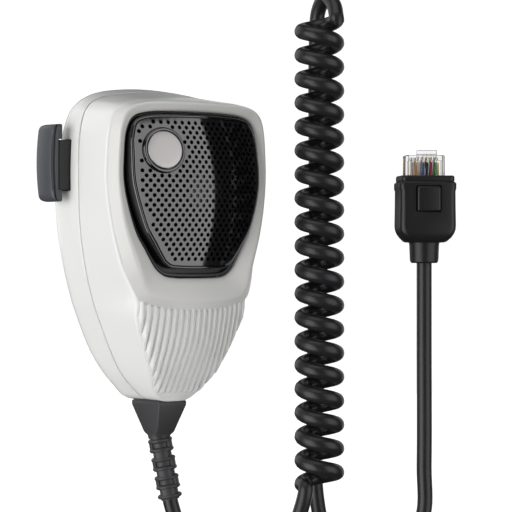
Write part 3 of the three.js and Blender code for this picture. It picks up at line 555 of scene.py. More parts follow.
def add_noise(tree, place, scale, detail=3.0):
    noise = add_node(tree, "ShaderNodeTexNoise", {"Scale": scale, "Detail": detail})
    tree.links.new(place.outputs["Object"], noise.inputs["Vector"])
    return noise


def vary(tree, source, target, low, high):
    """Spreads a pattern over a range of values."""
    spread = add_node(tree, "ShaderNodeMapRange", {"To Min": low, "To Max": high})
    tree.links.new(source, spread.inputs["Value"])
    tree.links.new(spread.outputs["Result"], target)


def tint(tree, source, target, dark, light):
    """Colours a pattern between two colours."""
    mix = tree.nodes.new("ShaderNodeMix")
    mix.data_type = "RGBA"
    mix.inputs["A"].default_value = (*dark, 1)
    mix.inputs["B"].default_value = (*light, 1)
    tree.links.new(source, mix.inputs["Factor"])
    tree.links.new(mix.outputs["Result"], target)


def roughen(tree, source, shader, strength, distance):
    bump = add_node(tree, "ShaderNodeBump", {"Strength": strength, "Distance": distance})
    tree.links.new(source, bump.inputs["Height"])
    tree.links.new(bump.outputs["Normal"], shader.inputs["Normal"])


def moulded(name, dark, light, roughness, grain=0.1, specular=0.5):
    """Moulded plastic or rubber: a faint mottle, uneven gloss and a fine grain."""
    look, tree, shader, place = node_material(name, light, roughness)
    shader.inputs["Specular IOR Level"].default_value = specular
    mottle = add_noise(tree, place, 60)
    tint(tree, mottle.outputs["Fac"], shader.inputs["Base Color"], dark, light)
    vary(tree, mottle.outputs["Fac"], shader.inputs["Roughness"], roughness * 0.92, roughness * 1.08)
    fine = add_noise(tree, place, 900, 4.0)
    roughen(tree, fine.outputs["Fac"], shader, grain, 0.0001)
    return look


def brushed(name, dark, light, roughness, stretch):
    """Metal with fine lines along one direction."""
    look, tree, shader, place = node_material(name, light, roughness, 1.0)
    squeeze = add_node(tree, "ShaderNodeMapping", {"Scale": stretch})
    tree.links.new(place.outputs["Object"], squeeze.inputs["Vector"])
    lines = add_node(tree, "ShaderNodeTexNoise", {"Scale": 600})
    tree.links.new(squeeze.outputs["Vector"], lines.inputs["Vector"])
    tint(tree, lines.outputs["Fac"], shader.inputs["Base Color"], dark, light)
    vary(tree, lines.outputs["Fac"], shader.inputs["Roughness"], roughness * 0.8, roughness * 1.25)
    roughen(tree, lines.outputs["Fac"], shader, 0.05, 0.00005)
    return look


def grille_black():
    """Glossy black moulding that mirrors the studio softly."""
    look = moulded("grille black", (0.003, 0.003, 0.0035), (0.005, 0.005, 0.006), 0.08, 0.02)
    shader = look.node_tree.nodes["Principled BSDF"]
    shader.inputs["IOR"].default_value = 1.9
    return look


def woven(name, dark, light):
    """Fine cloth: two sets of threads that cross."""
    look, tree, shader, place = node_material(name, dark, 0.95)
    heights = []
    for axis in ("X", "Z"):
        threads = add_node(tree, "ShaderNodeTexWave", {"Scale": 900})
        threads.bands_direction = axis
        tree.links.new(place.outputs["Object"], threads.inputs["Vector"])
        heights.append(threads.outputs["Fac"])
    cross = tree.nodes.new("ShaderNodeMath")
    cross.operation = "MAXIMUM"
    tree.links.new(heights[0], cross.inputs[0])
    tree.links.new(heights[1], cross.inputs[1])
    tint(tree, cross.outputs["Value"], shader.inputs["Base Color"], dark, light)
    roughen(tree, cross.outputs["Value"], shader, 0.4, 0.0001)
    return look


def clear_plastic():
    """Clear moulding with painted shade: its colour greys where it is seen edge on."""
    look, tree, shader, place = node_material("clear plastic", (1, 1, 1), 0.05)
    shader.inputs["Transmission Weight"].default_value = 1.0
    shader.inputs["IOR"].default_value = 1.4
    # painted shade: the colour turns grey towards edge-on views, standing in for the light lost through the
    # plastic's thickness
    edge = add_node(tree, "ShaderNodeLayerWeight", {"Blend": 0.35})
    tint(tree, edge.outputs["Facing"], shader.inputs["Base Color"], (0.97, 0.97, 0.97), (0.5, 0.5, 0.52))
    ripples = add_noise(tree, place, 300)
    roughen(tree, ripples.outputs["Fac"], shader, 0.02, 0.0001)
    return look


def board_green():
    """Circuit board: green lacquer with fine tracks."""
    look, tree, shader, place = node_material("board green", (0.03, 0.16, 0.08), 0.4)
    tracks = add_node(tree, "ShaderNodeTexBrick", {
        "Scale": 260,
        "Color1": (0.03, 0.16, 0.08, 1),
        "Color2": (0.02, 0.12, 0.06, 1),
        "Mortar": (0.10, 0.30, 0.12, 1),
        "Mortar Size": 0.03,
    })
    tree.links.new(place.outputs["Object"], tracks.inputs["Vector"])
    tree.links.new(tracks.outputs["Color"], shader.inputs["Base Color"])
    return look


# Mouldings: darker and lighter tone, roughness, grain, reflection
MOULDINGS = {
    "pale_housing": ((0.755, 0.755, 0.745), (0.775, 0.775, 0.765), 0.2, 0.04, 0.5),
    "pale_bezel": ((0.66, 0.655, 0.635), (0.68, 0.675, 0.655), 0.3, 0.06, 0.5),
    "black_rubber": ((0.005, 0.005, 0.006), (0.009, 0.009, 0.010), 0.4, 0.15, 0.4),
    "grey_rubber": ((0.03, 0.03, 0.032), (0.045, 0.045, 0.048), 0.45, 0.2, 0.4),
    "cord_jacket": ((0.009, 0.009, 0.010), (0.015, 0.015, 0.017), 0.36, 0.15, 0.4),
    "lead_jacket": ((0.30, 0.05, 0.03), (0.42, 0.08, 0.05), 0.4, 0.1, 0.5),
    "black_plastic": ((0.008, 0.008, 0.009), (0.016, 0.016, 0.017), 0.4, 0.2, 0.5),
    "pale_connector": ((0.72, 0.69, 0.6), (0.8, 0.77, 0.68), 0.45, 0.1, 0.5),
    "grey_plastic": ((0.048, 0.05, 0.057), (0.06, 0.062, 0.071), 0.36, 0.2, 0.5),
}

LOOKS = {slot: moulded(slot.replace("_", " "), *values) for slot, values in MOULDINGS.items()}
LOOKS["black_grille"] = grille_black()
LOOKS["black_cloth"] = woven("black cloth", (0.004, 0.004, 0.004), (0.012, 0.012, 0.012))
LOOKS["silver_badge"] = brushed("silver badge", (0.47, 0.45, 0.45), (0.56, 0.54, 0.54), 0.5, (1, 1, 14))
LOOKS["aluminium_can"] = brushed("drawn can", (0.6, 0.6, 0.6), (0.75, 0.75, 0.75), 0.3, (1, 20, 1))
LOOKS["screw_steel"] = brushed("plated steel", (0.42, 0.42, 0.42), (0.6, 0.6, 0.6), 0.3, (8, 1, 1))
LOOKS["gold_contact"] = brushed("gold flash", (0.75, 0.52, 0.18), (0.95, 0.74, 0.34), 0.25, (1, 1, 6))
LOOKS["green_board"] = board_green()
LOOKS["clear_plastic"] = clear_plastic()

# ---- the two shells


def case_surface(distance):
    """The case's skin, distance inside the outside: its seam ring, front edge ring and rear rings."""
    samples = outline(CASE_ROWS, CASE_STEPS)
    seam = inset([(row[0], 0, row[1]) for row in samples], distance)
    edge = inset([(row[2], row[4] + distance, row[3]) for row in samples], distance)
    rounding = [row[5] - distance for row in samples]
    swell = [row[6] for row in samples]
    rear = []
    for k in range(11):
        angle = math.radians(90 - 9 * k)
        pulled = [r * (1 - math.cos(angle)) - s for r, s in zip(rounding, swell)]
        drawn = inset(seam, pulled, BACK_REACH)
        back = REAR_DEPTH - distance
        rear.append([(x, back - r * (1 - math.sin(angle)), z) for (x, _, z), r in zip(drawn, rounding)])
    return seam, edge, rear


def seam_lip(seam, inner_seam, side):
    """Three rings round a shell's edge at the seam: a softened corner, the lip and its inner rim."""
    soft = [(x, side * 0.28, z) for x, _, z in inset(seam, 0.08)]
    lip = [(x, side * SEAM_GAP, z) for x, _, z in inset(seam, 0.32)]
    return [soft, lip, [(x, side * SEAM_GAP, z) for x, _, z in inner_seam]]


def cord_hole():
    return rounded_box("cord_hole", -4, 4, CORD_Y - 5, CORD_Y + 5, -50, -43)


def round_stem(name, x0, x1, corner):
    """A box from x0 to x1 that clears the stem all round."""
    sides = (STEM["y0"] - GAP, STEM["y1"] + GAP, STEM["z0"] - GAP, STEM["z1"] + GAP)
    return rounded_box(name, x0, x1, *sides, corner=corner)


def screw_post(x, z):
    """A round post for a screw, longer than the case is deep."""
    profile = [(0, 2), (POST_RADIUS, 2), (POST_RADIUS, 18), (0, 18)]
    return mesh_object("post", *lathe(profile, 40, (x, 0, z)))


def rear_shell():
    seam, _, rear = case_surface(0)
    inner_seam, _, inner_rear = case_surface(WALL)
    outer = list(rear)
    for t in (0.8, 0.6, 0.4, 0.2, 0.05):
        outer.append(blend_rings(seam, rear[-1], t))
    rings = outer + seam_lip(seam, inner_seam, 1) + inner_rear[::-1]
    shell = mesh_object("rear_shell", *loft(rings))
    hull = mesh_object("hull", *loft(rear))
    posts = merged("posts", [screw_post(x, z) for x, z, _ in SCREW_PLACES])
    carve(shell, [carve(posts, [hull], "INTERSECT")], "UNION")
    holes = []
    shank = SCREW_THREAD + GAP
    head = SCREW_HEAD + GAP
    for x, z, seat in SCREW_PLACES:
        well = [(0, -1), (shank, -1), (shank, seat - 0.1), (head, seat - 0.1), (head, 17), (0, 17)]
        holes.append(mesh_object("well", *lathe(well, 40, (x, 0, z))))
    holes += [round_stem("slot", STEM["x0"], -20, 0.4), cord_hole()]
    carve(shell, holes)
    finish_piece(shell, "rear_housing", "pale_housing")


def ring_lathe(profile, sides, axis_point, axis=(0, 1, 0)):
    """A ring of revolution whose closed profile holds (radius, along)."""
    turn = Vector((0, 0, 1)).rotation_difference(Vector(axis))
    base = Vector(axis_point)
    rings = []
    for c, s in spokes(sides):
        spoke = Vector((c, s, 0))
        rings.append([base + turn @ (spoke * radius + Vector((0, 0, along))) for radius, along in profile])
    return loft(rings, closed=True)


def front_shell():
    seam, edge, _ = case_surface(0)
    inner_seam, inner_edge, _ = case_surface(WALL)
    rim = [(x, y - 0.2, z) for x, y, z in inset(edge, EDGE_ROUND)]
    near = []
    for s, e in zip(seam, edge):
        length = (Vector(e) - Vector(s)).length
        t = 1 - EDGE_ROUND / length
        near.append(tuple(a + (b - a) * t for a, b in zip(s, e)))
    outer = bend_rings(near, edge, rim, 5)[::-1]
    for t in (0.75, 0.5, 0.25, 0.05):
        outer.append(blend_rings(seam, near, t))
    rings = outer + seam_lip(seam, inner_seam, -1) + [inner_edge]
    verts, faces = loft(rings, caps=False)
    count = len(seam)
    rung_fill(verts, faces, 0, count, FACE_COLUMNS, front_face)
    rung_fill(verts, faces, (len(rings) - 1) * count, count, FACE_COLUMNS, inner_face)
    shell = mesh_object("front_shell", verts, faces)
    opening = flat_outline(OPENING_ROWS, 4)
    hole = mesh_object("opening", *loft([[(x, y, z) for x, _, z in opening] for y in (-5, -30)]))
    carve(shell, [hole, cord_hole()])
    whole = merged("front_shell", [shell] + [grip_rib(k) for k in range(RIB_COUNT) if rib_span(k)])
    finish_piece(whole, "front_housing", "pale_housing", sharp=40)


def edge_at(z):
    """Half width of the front face and depth of its edge at height z."""
    for above, below in zip(CASE_ROWS, CASE_ROWS[1:]):
        if z >= below[3]:
            t = min(max((above[3] - z) / (above[3] - below[3]), 0), 1)
            return above[2] + (below[2] - above[2]) * t, above[4] + (below[4] - above[4]) * t
    return CASE_ROWS[-1][2], CASE_ROWS[-1][4]


def rib_x(k):
    """Where rib k stands across the case."""
    return (k - (RIB_COUNT - 1) / 2) * RIB_PITCH


def rib_span(k):
    """The heights that rib k covers, down to where the face's side edge has cut it away."""
    heights = [RIB_TOP + (RIB_BOTTOM - RIB_TOP) * n / 80 for n in range(81)]
    inner = abs(rib_x(k)) - RIB_WIDTH / 2
    kept = [z for z in heights if inner < edge_at(z)[0] - RIB_MARGIN - 0.15]
    return kept if len(kept) > 3 else []


def grip_rib(k):
    """One rib, rounded across, that fades at its lower end and towards the face's edge."""
    x = rib_x(k)
    heights = rib_span(k)
    rings = []
    for n, z in enumerate(heights):
        fade = min(1, (len(heights) - 1 - n) / 2 + 0.25)
        width, edge = edge_at(z)
        reach = width - RIB_MARGIN
        ring = []
        for step in range(11):
            u = step / 5 - 1
            px = min(max(x + u * RIB_WIDTH / 2, -reach), reach)
            face = front_face(z, px / width, edge)
            side_fade = min(1, (reach - abs(px)) / RIB_SIDE_FADE)
            ring.append((px, face - RIB_PROUD * fade * side_fade * math.cos(u * math.pi / 2), z))
        for side in (1, -1):
            px = min(max(x + side * RIB_WIDTH / 2, -reach), reach)
            ring.append((px, front_face(z, px / width, edge) + 0.5, z))
        rings.append(ring)
    return mesh_object("rib", *loft(rings))


def base_depth(x, z):
    """Depth of the front shell's face at a point."""
    width, edge = edge_at(z)
    return front_face(z, min(1, abs(x) / max(width, 1)), edge)


def bezel():
    steps = 10
    base = flat_outline(BEZEL_ROWS, steps)
    foot = at_depth(base, lambda x, z: base_depth(x, z) - BEZEL_STEP)
    crease = at_depth(flat_outline(CREASE_ROWS, steps), crease_depth)
    opening = at_depth(flat_outline(OPENING_ROWS, steps), opening_depth)
    back = [(x, y + BEZEL_DEPTH, z) for x, y, z in opening]
    rings = [foot]
    rings += rounded_corner(foot, crease, opening, 0.2, 0.34, 8)
    rings += [blend_rings(crease, opening, t) for t in (0.45, 0.55)]
    rings += rounded_corner(crease, opening, back, 0.34, 0.34, 8)
    rings.append(back)
    ring = mesh_object("bezel_ring", *loft(rings, closed=True))
    finish_piece(ring, "front_bezel", "pale_bezel")


def rounded_corner(before, corner, after, reach_in, reach_out, steps):
    """Rings that round a corner between two surfaces. The reaches are shares of the surfaces' widths."""
    start = blend_rings(corner, before, reach_in)
    return bend_rings(start, corner, blend_rings(corner, after, reach_out), steps)


# ---- grille and badge


def inside(x, z, ring):
    odd = False
    for (x0, _, z0), (x1, _, z1) in zip(ring, ring[1:] + ring[:1]):
        if (z0 > z) != (z1 > z) and x < x0 + (x1 - x0) * (z - z0) / (z1 - z0):
            odd = not odd
    return odd


def hole_centres(margin_ring):
    centres = []
    for row in range(-20, 20):
        z = HOLE_MIDDLE + row * HOLE_ROW
        shift = 0.5 * (row % 2)
        for column in range(-13, 14):
            x = (column + shift) * HOLE_PITCH
            clear = math.hypot(x - BADGE_X, z - BADGE_Z) > BADGE_RING + HOLE_RADIUS + 0.1
            if clear and inside(x, z, margin_ring):
                centres.append((x, z))
    return centres


def perforated_face(face_ring):
    """The dome's face with its holes, as verts and faces, with the walls of the holes behind it."""
    centres = hole_centres(inset(face_ring, HOLE_RADIUS + 0.3))
    points = [(x, z) for x, _, z in face_ring]
    edges = [(k, (k + 1) % len(points)) for k in range(len(points))]
    rings = []
    for cx, cz in centres:
        start = len(points)
        for k, (c, s) in enumerate(spokes(HOLE_SIDES)):
            points.append((cx + HOLE_RADIUS * c, cz + HOLE_RADIUS * s))
            edges.append((start + k, start + (k + 1) % HOLE_SIDES))
        rings.append(start)
    filler = inset(face_ring, 0.6)
    for row in range(-40, 40):
        for column in range(-27, 28):
            x = (column + 0.5 * (row % 2)) * HOLE_PITCH / 2
            z = HOLE_MIDDLE + (row + 0.5) * HOLE_ROW / 2
            free = all(math.hypot(x - cx, z - cz) > HOLE_RADIUS + 0.25 for cx, cz in centres)
            if free and inside(x, z, filler):
                points.append((x, z))
    flat, _, triangles, origin, _, _ = delaunay_2d_cdt([Vector(p) for p in points], edges, [], 1, 1e-5)
    verts = [(p.x, dome_depth(p.x, p.y), p.y) for p in flat]
    where = {source: k for k, sources in enumerate(origin) for source in sources}
    faces = []
    for a, b, c in triangles:
        x = (flat[a].x + flat[b].x + flat[c].x) / 3
        z = (flat[a].y + flat[b].y + flat[c].y) / 3
        if all(math.hypot(x - cx, z - cz) > HOLE_RADIUS * 0.97 for cx, cz in near_centres(centres, x, z)):
            faces.append((a, b, c))
    for start in rings:
        mouth = [where[start + k] for k in range(HOLE_SIDES)]
        base = len(verts)
        verts += [(verts[k][0], verts[k][1] + SHEET, verts[k][2]) for k in mouth]
        for k in range(HOLE_SIDES):
            j = (k + 1) % HOLE_SIDES
            faces.append((mouth[k], mouth[j], base + j, base + k))
    return verts, faces


def near_centres(centres, x, z):
    return [(cx, cz) for cx, cz in centres if abs(cx - x) < HOLE_PITCH / 2 and abs(cz - z) < HOLE_PITCH / 2]


def dome_gap(z):
    """How far the dome's rim stands inside the opening: more towards the bottom."""
    fall = min(max((25 - z) / 36, 0), 1)
    return DOME_GAP + (DOME_GAP_LOW - DOME_GAP) * fall * fall


def grille():
    """A lip and a groove, the dome's bead, its perforated face and the badge's ring."""
    opening = flat_outline(OPENING_ROWS, 10)
    gaps = [dome_gap(z) for _, _, z in opening]

    def ring_at(distances, depth):
        return at_depth(inset(opening, distances), depth)

    def lip(rise):
        return lambda x, z: opening_depth(x) + LIP_DROP + rise

    def dome(rise):
        return lambda x, z: dome_depth(x, z) + rise

    trim = [ring_at(LIP_START, lip(GROOVE_DEPTH + 1.5))]
    for across, rise in arc(0.5, 0.25, 0.5, 180, 360, 8):
        widths = [LIP_START + across * LIP_SHARE * gap for gap in gaps]
        trim.append(ring_at(widths, lip((rise - 0.25) * 0.5 + 0.25)))
    trim.append(ring_at([LIP_START + LIP_SHARE * gap + 0.02 for gap in gaps], lip(GROOVE_DEPTH)))
    trim.append(ring_at([gap - 0.1 for gap in gaps], lip(GROOVE_DEPTH)))
    bead = [trim[-1]]
    for across, rise in arc(BEAD_RADIUS, 0.3, BEAD_RADIUS, 180, 360, 8):
        bead.append(ring_at([gap + across for gap in gaps], dome(rise)))
    bead.append(ring_at([gap + 2 * BEAD_RADIUS + 0.06 for gap in gaps], dome(0.34)))
    face_ring = ring_at([gap + FACE_INSET for gap in gaps], dome(0))
    bead.append(face_ring)
    parts = [
        mesh_object("trim", *loft(trim, caps=False)),
        mesh_object("bead", *loft(bead, caps=False)),
        mesh_object("face", *perforated_face(face_ring)),
        mesh_object("boss", *badge_boss()),
    ]
    matt = len(parts[0].data.polygons)
    whole = merged("grille_dome", parts)
    finish_piece(whole, "grille", "black_grille", sharp=50)
    whole.data.materials.append(LOOKS["black_plastic"])
    for polygon in whole.data.polygons:
        polygon.material_index = 1 if polygon.index < matt else 0


def badge_axis():
    """Square to the dome where the badge sits."""
    return Vector((2 * BADGE_X / DOME_ACROSS, -1, 2 * (BADGE_Z - DOME_MIDDLE) / DOME_UP)).normalized()


def badge_centre():
    return (BADGE_X, dome_depth(BADGE_X, BADGE_Z), BADGE_Z)


def badge_boss():
    """The raised ring that holds the badge."""
    profile = [(BADGE_RADIUS + 0.15, -0.6)]
    profile += arc(BADGE_RADIUS + 0.45, 0.55, 0.3, 180, 90, 4)
    profile += arc(BADGE_RING - 0.4, 0.45, 0.4, 90, 0, 4)
    profile += [(BADGE_RING + 0.15, 0.05), (BADGE_RING + 0.15, -0.6)]
    return ring_lathe(profile, 72, badge_centre(), badge_axis())


def badge():
    top = 1.05
    profile = [(0, -0.2), (BADGE_RADIUS - 0.05, -0.2)]
    profile += arc(BADGE_RADIUS - 0.3, top - 0.25, 0.25, 0, 90, 4)
    profile += [(BADGE_RADIUS * 0.6, top + 0.05), (0, top + 0.08)]
    disc = mesh_object("badge_face", *lathe(profile, 72, badge_centre(), badge_axis()))
    finish_piece(disc, "badge_disc", "silver_badge")


# ---- push-to-talk


def paddle_outer(z):
    """The paddle's outer face: bulging, with rounded ends."""
    middle = (PADDLE["z0"] + PADDLE["z1"]) / 2
    half = (PADDLE["z1"] - PADDLE["z0"]) / 2
    along = abs(z - middle)
    bulge = PADDLE["x0"] + 0.35 + 1.0 * (along / half) ** 2
    corner = 1.9
    past = along - (half - corner)
    if past <= 0:
        return bulge
    return bulge + corner - math.sqrt(max(corner ** 2 - past ** 2, 0))


def paddle():
    x1 = PADDLE["x1"]
    y0 = PADDLE["y0"]
    y1 = PADDLE["y1"]
    middle = (PADDLE["z0"] + PADDLE["z1"]) / 2
    half = (PADDLE["z1"] - PADDLE["z0"]) / 2
    rings = []
    for k in range(49):
        t = -math.cos(math.pi * k / 48)
        z = middle + half * t
        x0 = min(paddle_outer(z), x1 - 0.8)
        end = max(0, abs(t) * half - (half - 0.7)) / 0.7
        pull = 0.7 * (1 - math.sqrt(max(0, 1 - end * end)))
        rings.append([(x, y, z) for x, y in paddle_section(x0 + pull, x1, y0 + pull, y1 - pull)])
    slab = mesh_object("paddle_slab", *loft(rings))
    carve(slab, [round_stem("pocket", x1 - 1.7, x1 + 1, 0.5)])
    finish_piece(slab, "ptt_paddle", "grey_plastic", "ptt")


def paddle_section(x0, x1, y0, y1):
    """Across the paddle: its inner side, a front side, a lengthwise groove, the outer face, the back."""
    depth = x1 - x0
    points = [(x1, y1 - 0.5)]
    points += [(x1, y0 + 0.4), (x1 - 0.12, y0 + 0.12), (x1 - 0.4, y0)]
    points += [(x0 + depth * 0.42, y0), (x0 + depth * 0.36, y0 + 0.08)]
    points += [(x0 + depth * 0.30, y0 + 0.75), (x0 + depth * 0.22, y0 + 0.8)]
    points += [(x0 + depth * 0.16, y0 + 0.35), (x0 + depth * 0.1, y0 + 0.3)]
    points += [(x0 + 0.12, y0 + 0.5), (x0, y0 + 0.95)]
    points += [(x0, (y0 + y1) / 2), (x0, y1 - 1.2)]
    points += [(x0 + 0.25, y1 - 0.4), (x0 + 0.8, y1), (x1 - 0.5, y1)]
    return points


def stem():
    """The paddle's stem, with the plate that keeps it in the case and the nose that meets the switch."""
    body = rounded_box("stem", *STEM.values(), corner=0.45)
    plate = rounded_box("plate", -24.6, -23.4, 3.05, 9.45, 12.95, 29.55, corner=0.3)
    nose = rounded_box("nose", -24, -22.85, 5.65, 7.85, 15.65, 18.35, corner=0.4)
    whole = merged("ptt_stem", [body, plate, nose])
    finish_piece(whole, "ptt_slider", "black_plastic", "ptt")


# ---- back of the case


def hang_up_button():
    """A wide head on a short neck that stands on the case."""
    foot = REAR_DEPTH + 0.05
    profile = [(0, foot), (BUTTON_NECK, foot), (BUTTON_NECK, 17.9)]
    profile += arc(BUTTON_NECK + 0.4, 18.0, 0.4, 180, 90, 3)
    profile += [(BUTTON_EDGE, 18.45)]
    profile += arc(BUTTON_EDGE, 19.05, 0.6, 270, 360, 4)
    profile += arc(BUTTON_EDGE - 0.1, BUTTON_TOP - 0.7, 0.7, 0, 90, 5)
    profile += [(0, BUTTON_TOP)]
    knob = mesh_object("button_knob", *lathe(profile, 64, (0, 0, BUTTON_Z)))
    finish_piece(knob, "hang_up_button", "black_plastic")


def case_screws():
    """Screws with ringed shanks, domed heads and crossed slots. The upper pair is the shorter one."""
    for k, (x, z, seat) in enumerate(SCREW_PLACES):
        tip = -4.4 if z > 0 else -8.8
        profile = [(0, tip), (0.7, tip)]
        for n in range(9):
            along = tip + 0.6 + n * SCREW_PITCH
            profile += [(SCREW_CORE, along), (SCREW_THREAD, along + 0.25), (SCREW_CORE, along + 0.5)]
        profile += [(1.15, seat), (SCREW_HEAD - 0.05, seat), (SCREW_HEAD, seat + 0.5)]
        profile += arc(0, seat - 1.6, 3.3, 45, 90, 8)[1:]
        screw = mesh_object(f"case_screw_{k + 1}", *lathe(profile, 40, (x, 0, z)))
        slots = []
        for wide, tall in ((1.5, 0.3), (0.3, 1.5)):
            sides = (x - wide, x + wide, seat + 0.8, seat + 3, z - tall, z + tall)
            slots.append(rounded_box("slot", *sides, corner=0.08))
        carve(screw, slots)
        finish_piece(screw, f"housing_screw_{k + 1}", "screw_steel")


# ---- cord


def sleeve_direction():
    return plane_point(math.sin(SLEEVE_LEAN), 0, -math.cos(SLEEVE_LEAN))


# Funnel: width, depth, corner and z of its levels, from the case down
FUNNEL_LEVELS = [
    (9.4, 12.4, 0.5, -45.6), (9.6, 12.6, 0.5, -46.9), (10.0, 13.1, 0.5, -47.0), (10.3, 13.4, 0.5, -47.3),
    (10.2, 13.3, 0.5, -48.3), (6.6, 7.0, 0.8, -56.2), (6.5, 6.7, 1.4, -56.6), (6.3, 6.3, 2.6, -57.2),
    (6.1, 6.1, 3.0, -58.4), (5.0, 5.0, 2.45, -58.5),
]


def strain_relief():
    funnel = mesh_object("funnel", *loft([level_ring(*row, CORD_Y, 4) for row in FUNNEL_LEVELS]))
    profile = [(SLEEVE_BORE, -0.6), (SLEEVE_TUBE, -0.6)]
    for middle in sleeve_ribs():
        profile += [(SLEEVE_TUBE, middle - 0.75)]
        profile += arc(3.0, middle, 0.62, -70, 70, 6)
        profile += [(SLEEVE_TUBE, middle + 0.75)]
    profile += [(SLEEVE_TUBE, SLEEVE_LENGTH), (SLEEVE_BORE, SLEEVE_LENGTH)]
    sleeve = mesh_object("sleeve", *ring_lathe(profile, 48, SLEEVE_BEND, sleeve_direction()))
    webs = [sleeve_web(k, side) for k in range(len(sleeve_ribs()) - 1) for side in (0, 1)]
    whole = merged("strain_relief_boot", [funnel, sleeve] + webs)
    finish_piece(whole, "strain_relief", "grey_rubber", sharp=45)


def sleeve_ribs():
    """Where along the sleeve its ribs stand."""
    count = int((SLEEVE_LENGTH - SLEEVE_START) / SLEEVE_PITCH) + 1
    return [SLEEVE_START + k * SLEEVE_PITCH for k in range(count)]


def sleeve_web(k, side):
    """A curved bridge between ribs k and k + 1. Each pair is a quarter turn on from the last."""
    turn = Vector((0, 0, 1)).rotation_difference(sleeve_direction())
    low = sleeve_ribs()[k]
    high = low + SLEEVE_PITCH
    middle = side * math.pi + k * math.pi / 2 + WEB_START
    rings = []
    for step in range(9):
        angle = middle + WEB_SPAN * (step / 8 - 0.5)
        top = WEB_RADIUS - (0.25 if step in (0, 8) else 0)
        spoke = Vector((math.cos(angle), math.sin(angle), 0))
        corners = [(2.5, low), (top, low), (top, high), (2.5, high)]
        rings.append([SLEEVE_BEND + turn @ (spoke * r + Vector((0, 0, z))) for r, z in corners])
    return mesh_object("web", *loft(rings))


def coil_point(turn):
    angle = math.pi - 2 * math.pi * turn
    z = COIL_BOTTOM + (COIL_TOP - COIL_BOTTOM) * turn / COIL_TURNS
    return plane_point(COIL_OFFSET + COIL_RADIUS * math.cos(angle), COIL_RADIUS * math.sin(angle), z)


def cord_path():
    down = sleeve_direction()
    lead = [
        Vector((0, CORD_Y, CORD_START)),
        Vector((0, CORD_Y, -50)),
        SLEEVE_BEND + Vector((0, 0, 1.5)),
        SLEEVE_BEND + down * 1.5,
        SLEEVE_BEND + down * 6,
        SLEEVE_BEND + down * 13,
        SLEEVE_BEND + down * (SLEEVE_LENGTH + 2),
        plane_point(8.2, 0, -88),
        plane_point(16, 0, -96.5),
        plane_point(26, 0, -98.5),
        plane_point(36, -0.5, -93),
        plane_point(41, -1.5, -83),
        coil_point(-0.1),
        coil_point(0),
    ]
    steps = round(COIL_TURNS * COIL_STEPS)
    coil = [coil_point(k * COIL_TURNS / steps) for k in range(steps + 1)]
    back = [
        coil[-1],
        plane_point(COIL_OFFSET + 4.6, 3.5, COIL_TOP + 4.5),
        plane_point(COIL_OFFSET + 2.6, 8, COIL_TOP + 7.5),
        plane_point(COIL_OFFSET + 0.6, 12, COIL_TOP + 4),
        plane_point(COIL_OFFSET, 13.5, COIL_TOP - 4),
        plane_point(COIL_OFFSET, 13.5, 0),
        plane_point(COIL_OFFSET, 13.5, COIL_BOTTOM - 4),
        plane_point(COIL_OFFSET + 3, 12, -88),
        plane_point(COIL_OFFSET + 12, 7, -96.5),
        plane_point(COIL_OFFSET + 23, 2, -94.5),
        plane_point(PLUG_OFFSET - 0.5, 0, -82),
        plane_point(PLUG_OFFSET, 0, -66),
        plane_point(PLUG_OFFSET, 0, -30),
        plane_point(PLUG_OFFSET, 0, 2.2),
    ]
    return smooth_path(lead, 8)[:-1] + coil + smooth_path(back, 10)[1:]


def cord():
    jacket = mesh_object("cord", *sweep(cord_path(), CORD_RADIUS, 18))
    finish_piece(jacket, "coiled_cord", "cord_jacket", sharp=60)


# ---- plug

WIRE_LOOKS = [
    ("wire white", (0.78, 0.76, 0.72), (0.86, 0.84, 0.8)),
    ("wire orange", (0.80, 0.32, 0.10), (0.90, 0.42, 0.16)),
    ("wire cream", (0.80, 0.70, 0.55), (0.88, 0.80, 0.66)),
    ("wire blue", (0.05, 0.16, 0.50), (0.09, 0.24, 0.62)),
    ("wire black", (0.02, 0.02, 0.03), (0.06, 0.06, 0.07)),
    ("wire red", (0.60, 0.05, 0.10), (0.74, 0.09, 0.15)),
    ("wire green", (0.10, 0.35, 0.12), (0.18, 0.48, 0.18)),
    ("wire yellow", (0.80, 0.66, 0.08), (0.90, 0.78, 0.16)),
]


def plug_box(name, *sides, corner, steps=3):
    return rounded_box(name, *sides, corner, steps, place=in_plug)


def wire_x(k):
    """Where wire and contact k lie across the plug."""
    return (k - 3.5) * WIRE_PITCH


def plug_body():
    """A clear shell with a room for the wires, a slot for each contact and a step along each side."""
    half = PLUG_WIDTH / 2
    back = PLUG_BACK
    shell = plug_box("plug_shell", -half, half, -back, back, PLUG_TAIL, PLUG_NOSE, corner=0.35)
    cutters = [plug_box("room", -5.1, 5.1, -1.4, 0.7, PLUG_TAIL - 1, PLUG_NOSE - 1.6, corner=0.15)]
    for k in range(8):
        x = wire_x(k)
        sides = (x - SLOT_HALF, x + SLOT_HALF, 1.1, back + 1, 18, PLUG_NOSE - 0.8)
        cutters.append(plug_box("slot", *sides, corner=0.08))
    for edge in (-half, half):
        cutters.append(plug_box("step", edge - 0.7, edge + 0.7, -back - 1, -1.9, 15, 26, corner=0.2))
    carve(shell, cutters)
    finish_piece(shell, "plug_body", "clear_plastic")


def plug_wires():
    for k, (name, dark, light) in enumerate(WIRE_LOOKS):
        row = -0.5 if k % 2 == 0 else 0.5
        bundle = (k - 3.5) * 0.46
        points = [
            Vector((wire_x(k), -0.35, PLUG_NOSE - 2.2)),
            Vector((wire_x(k), -0.35, 12)),
            Vector((wire_x(k) * 0.8, -0.35 + row * 0.4, 7.5)),
            Vector((bundle, row - 0.35, 2.9)),
        ]
        bar = sweep(smooth_path(points, 6), WIRE_RADIUS, 14)
        wire = mesh_object(f"insulated_wire_{k + 1}", *bar, place=in_plug)
        look = moulded(name, dark, light, 0.35, 0.1)
        finish_piece(wire, f"plug_wire_{k + 1}", "lead_jacket", sharp=60, look=look)


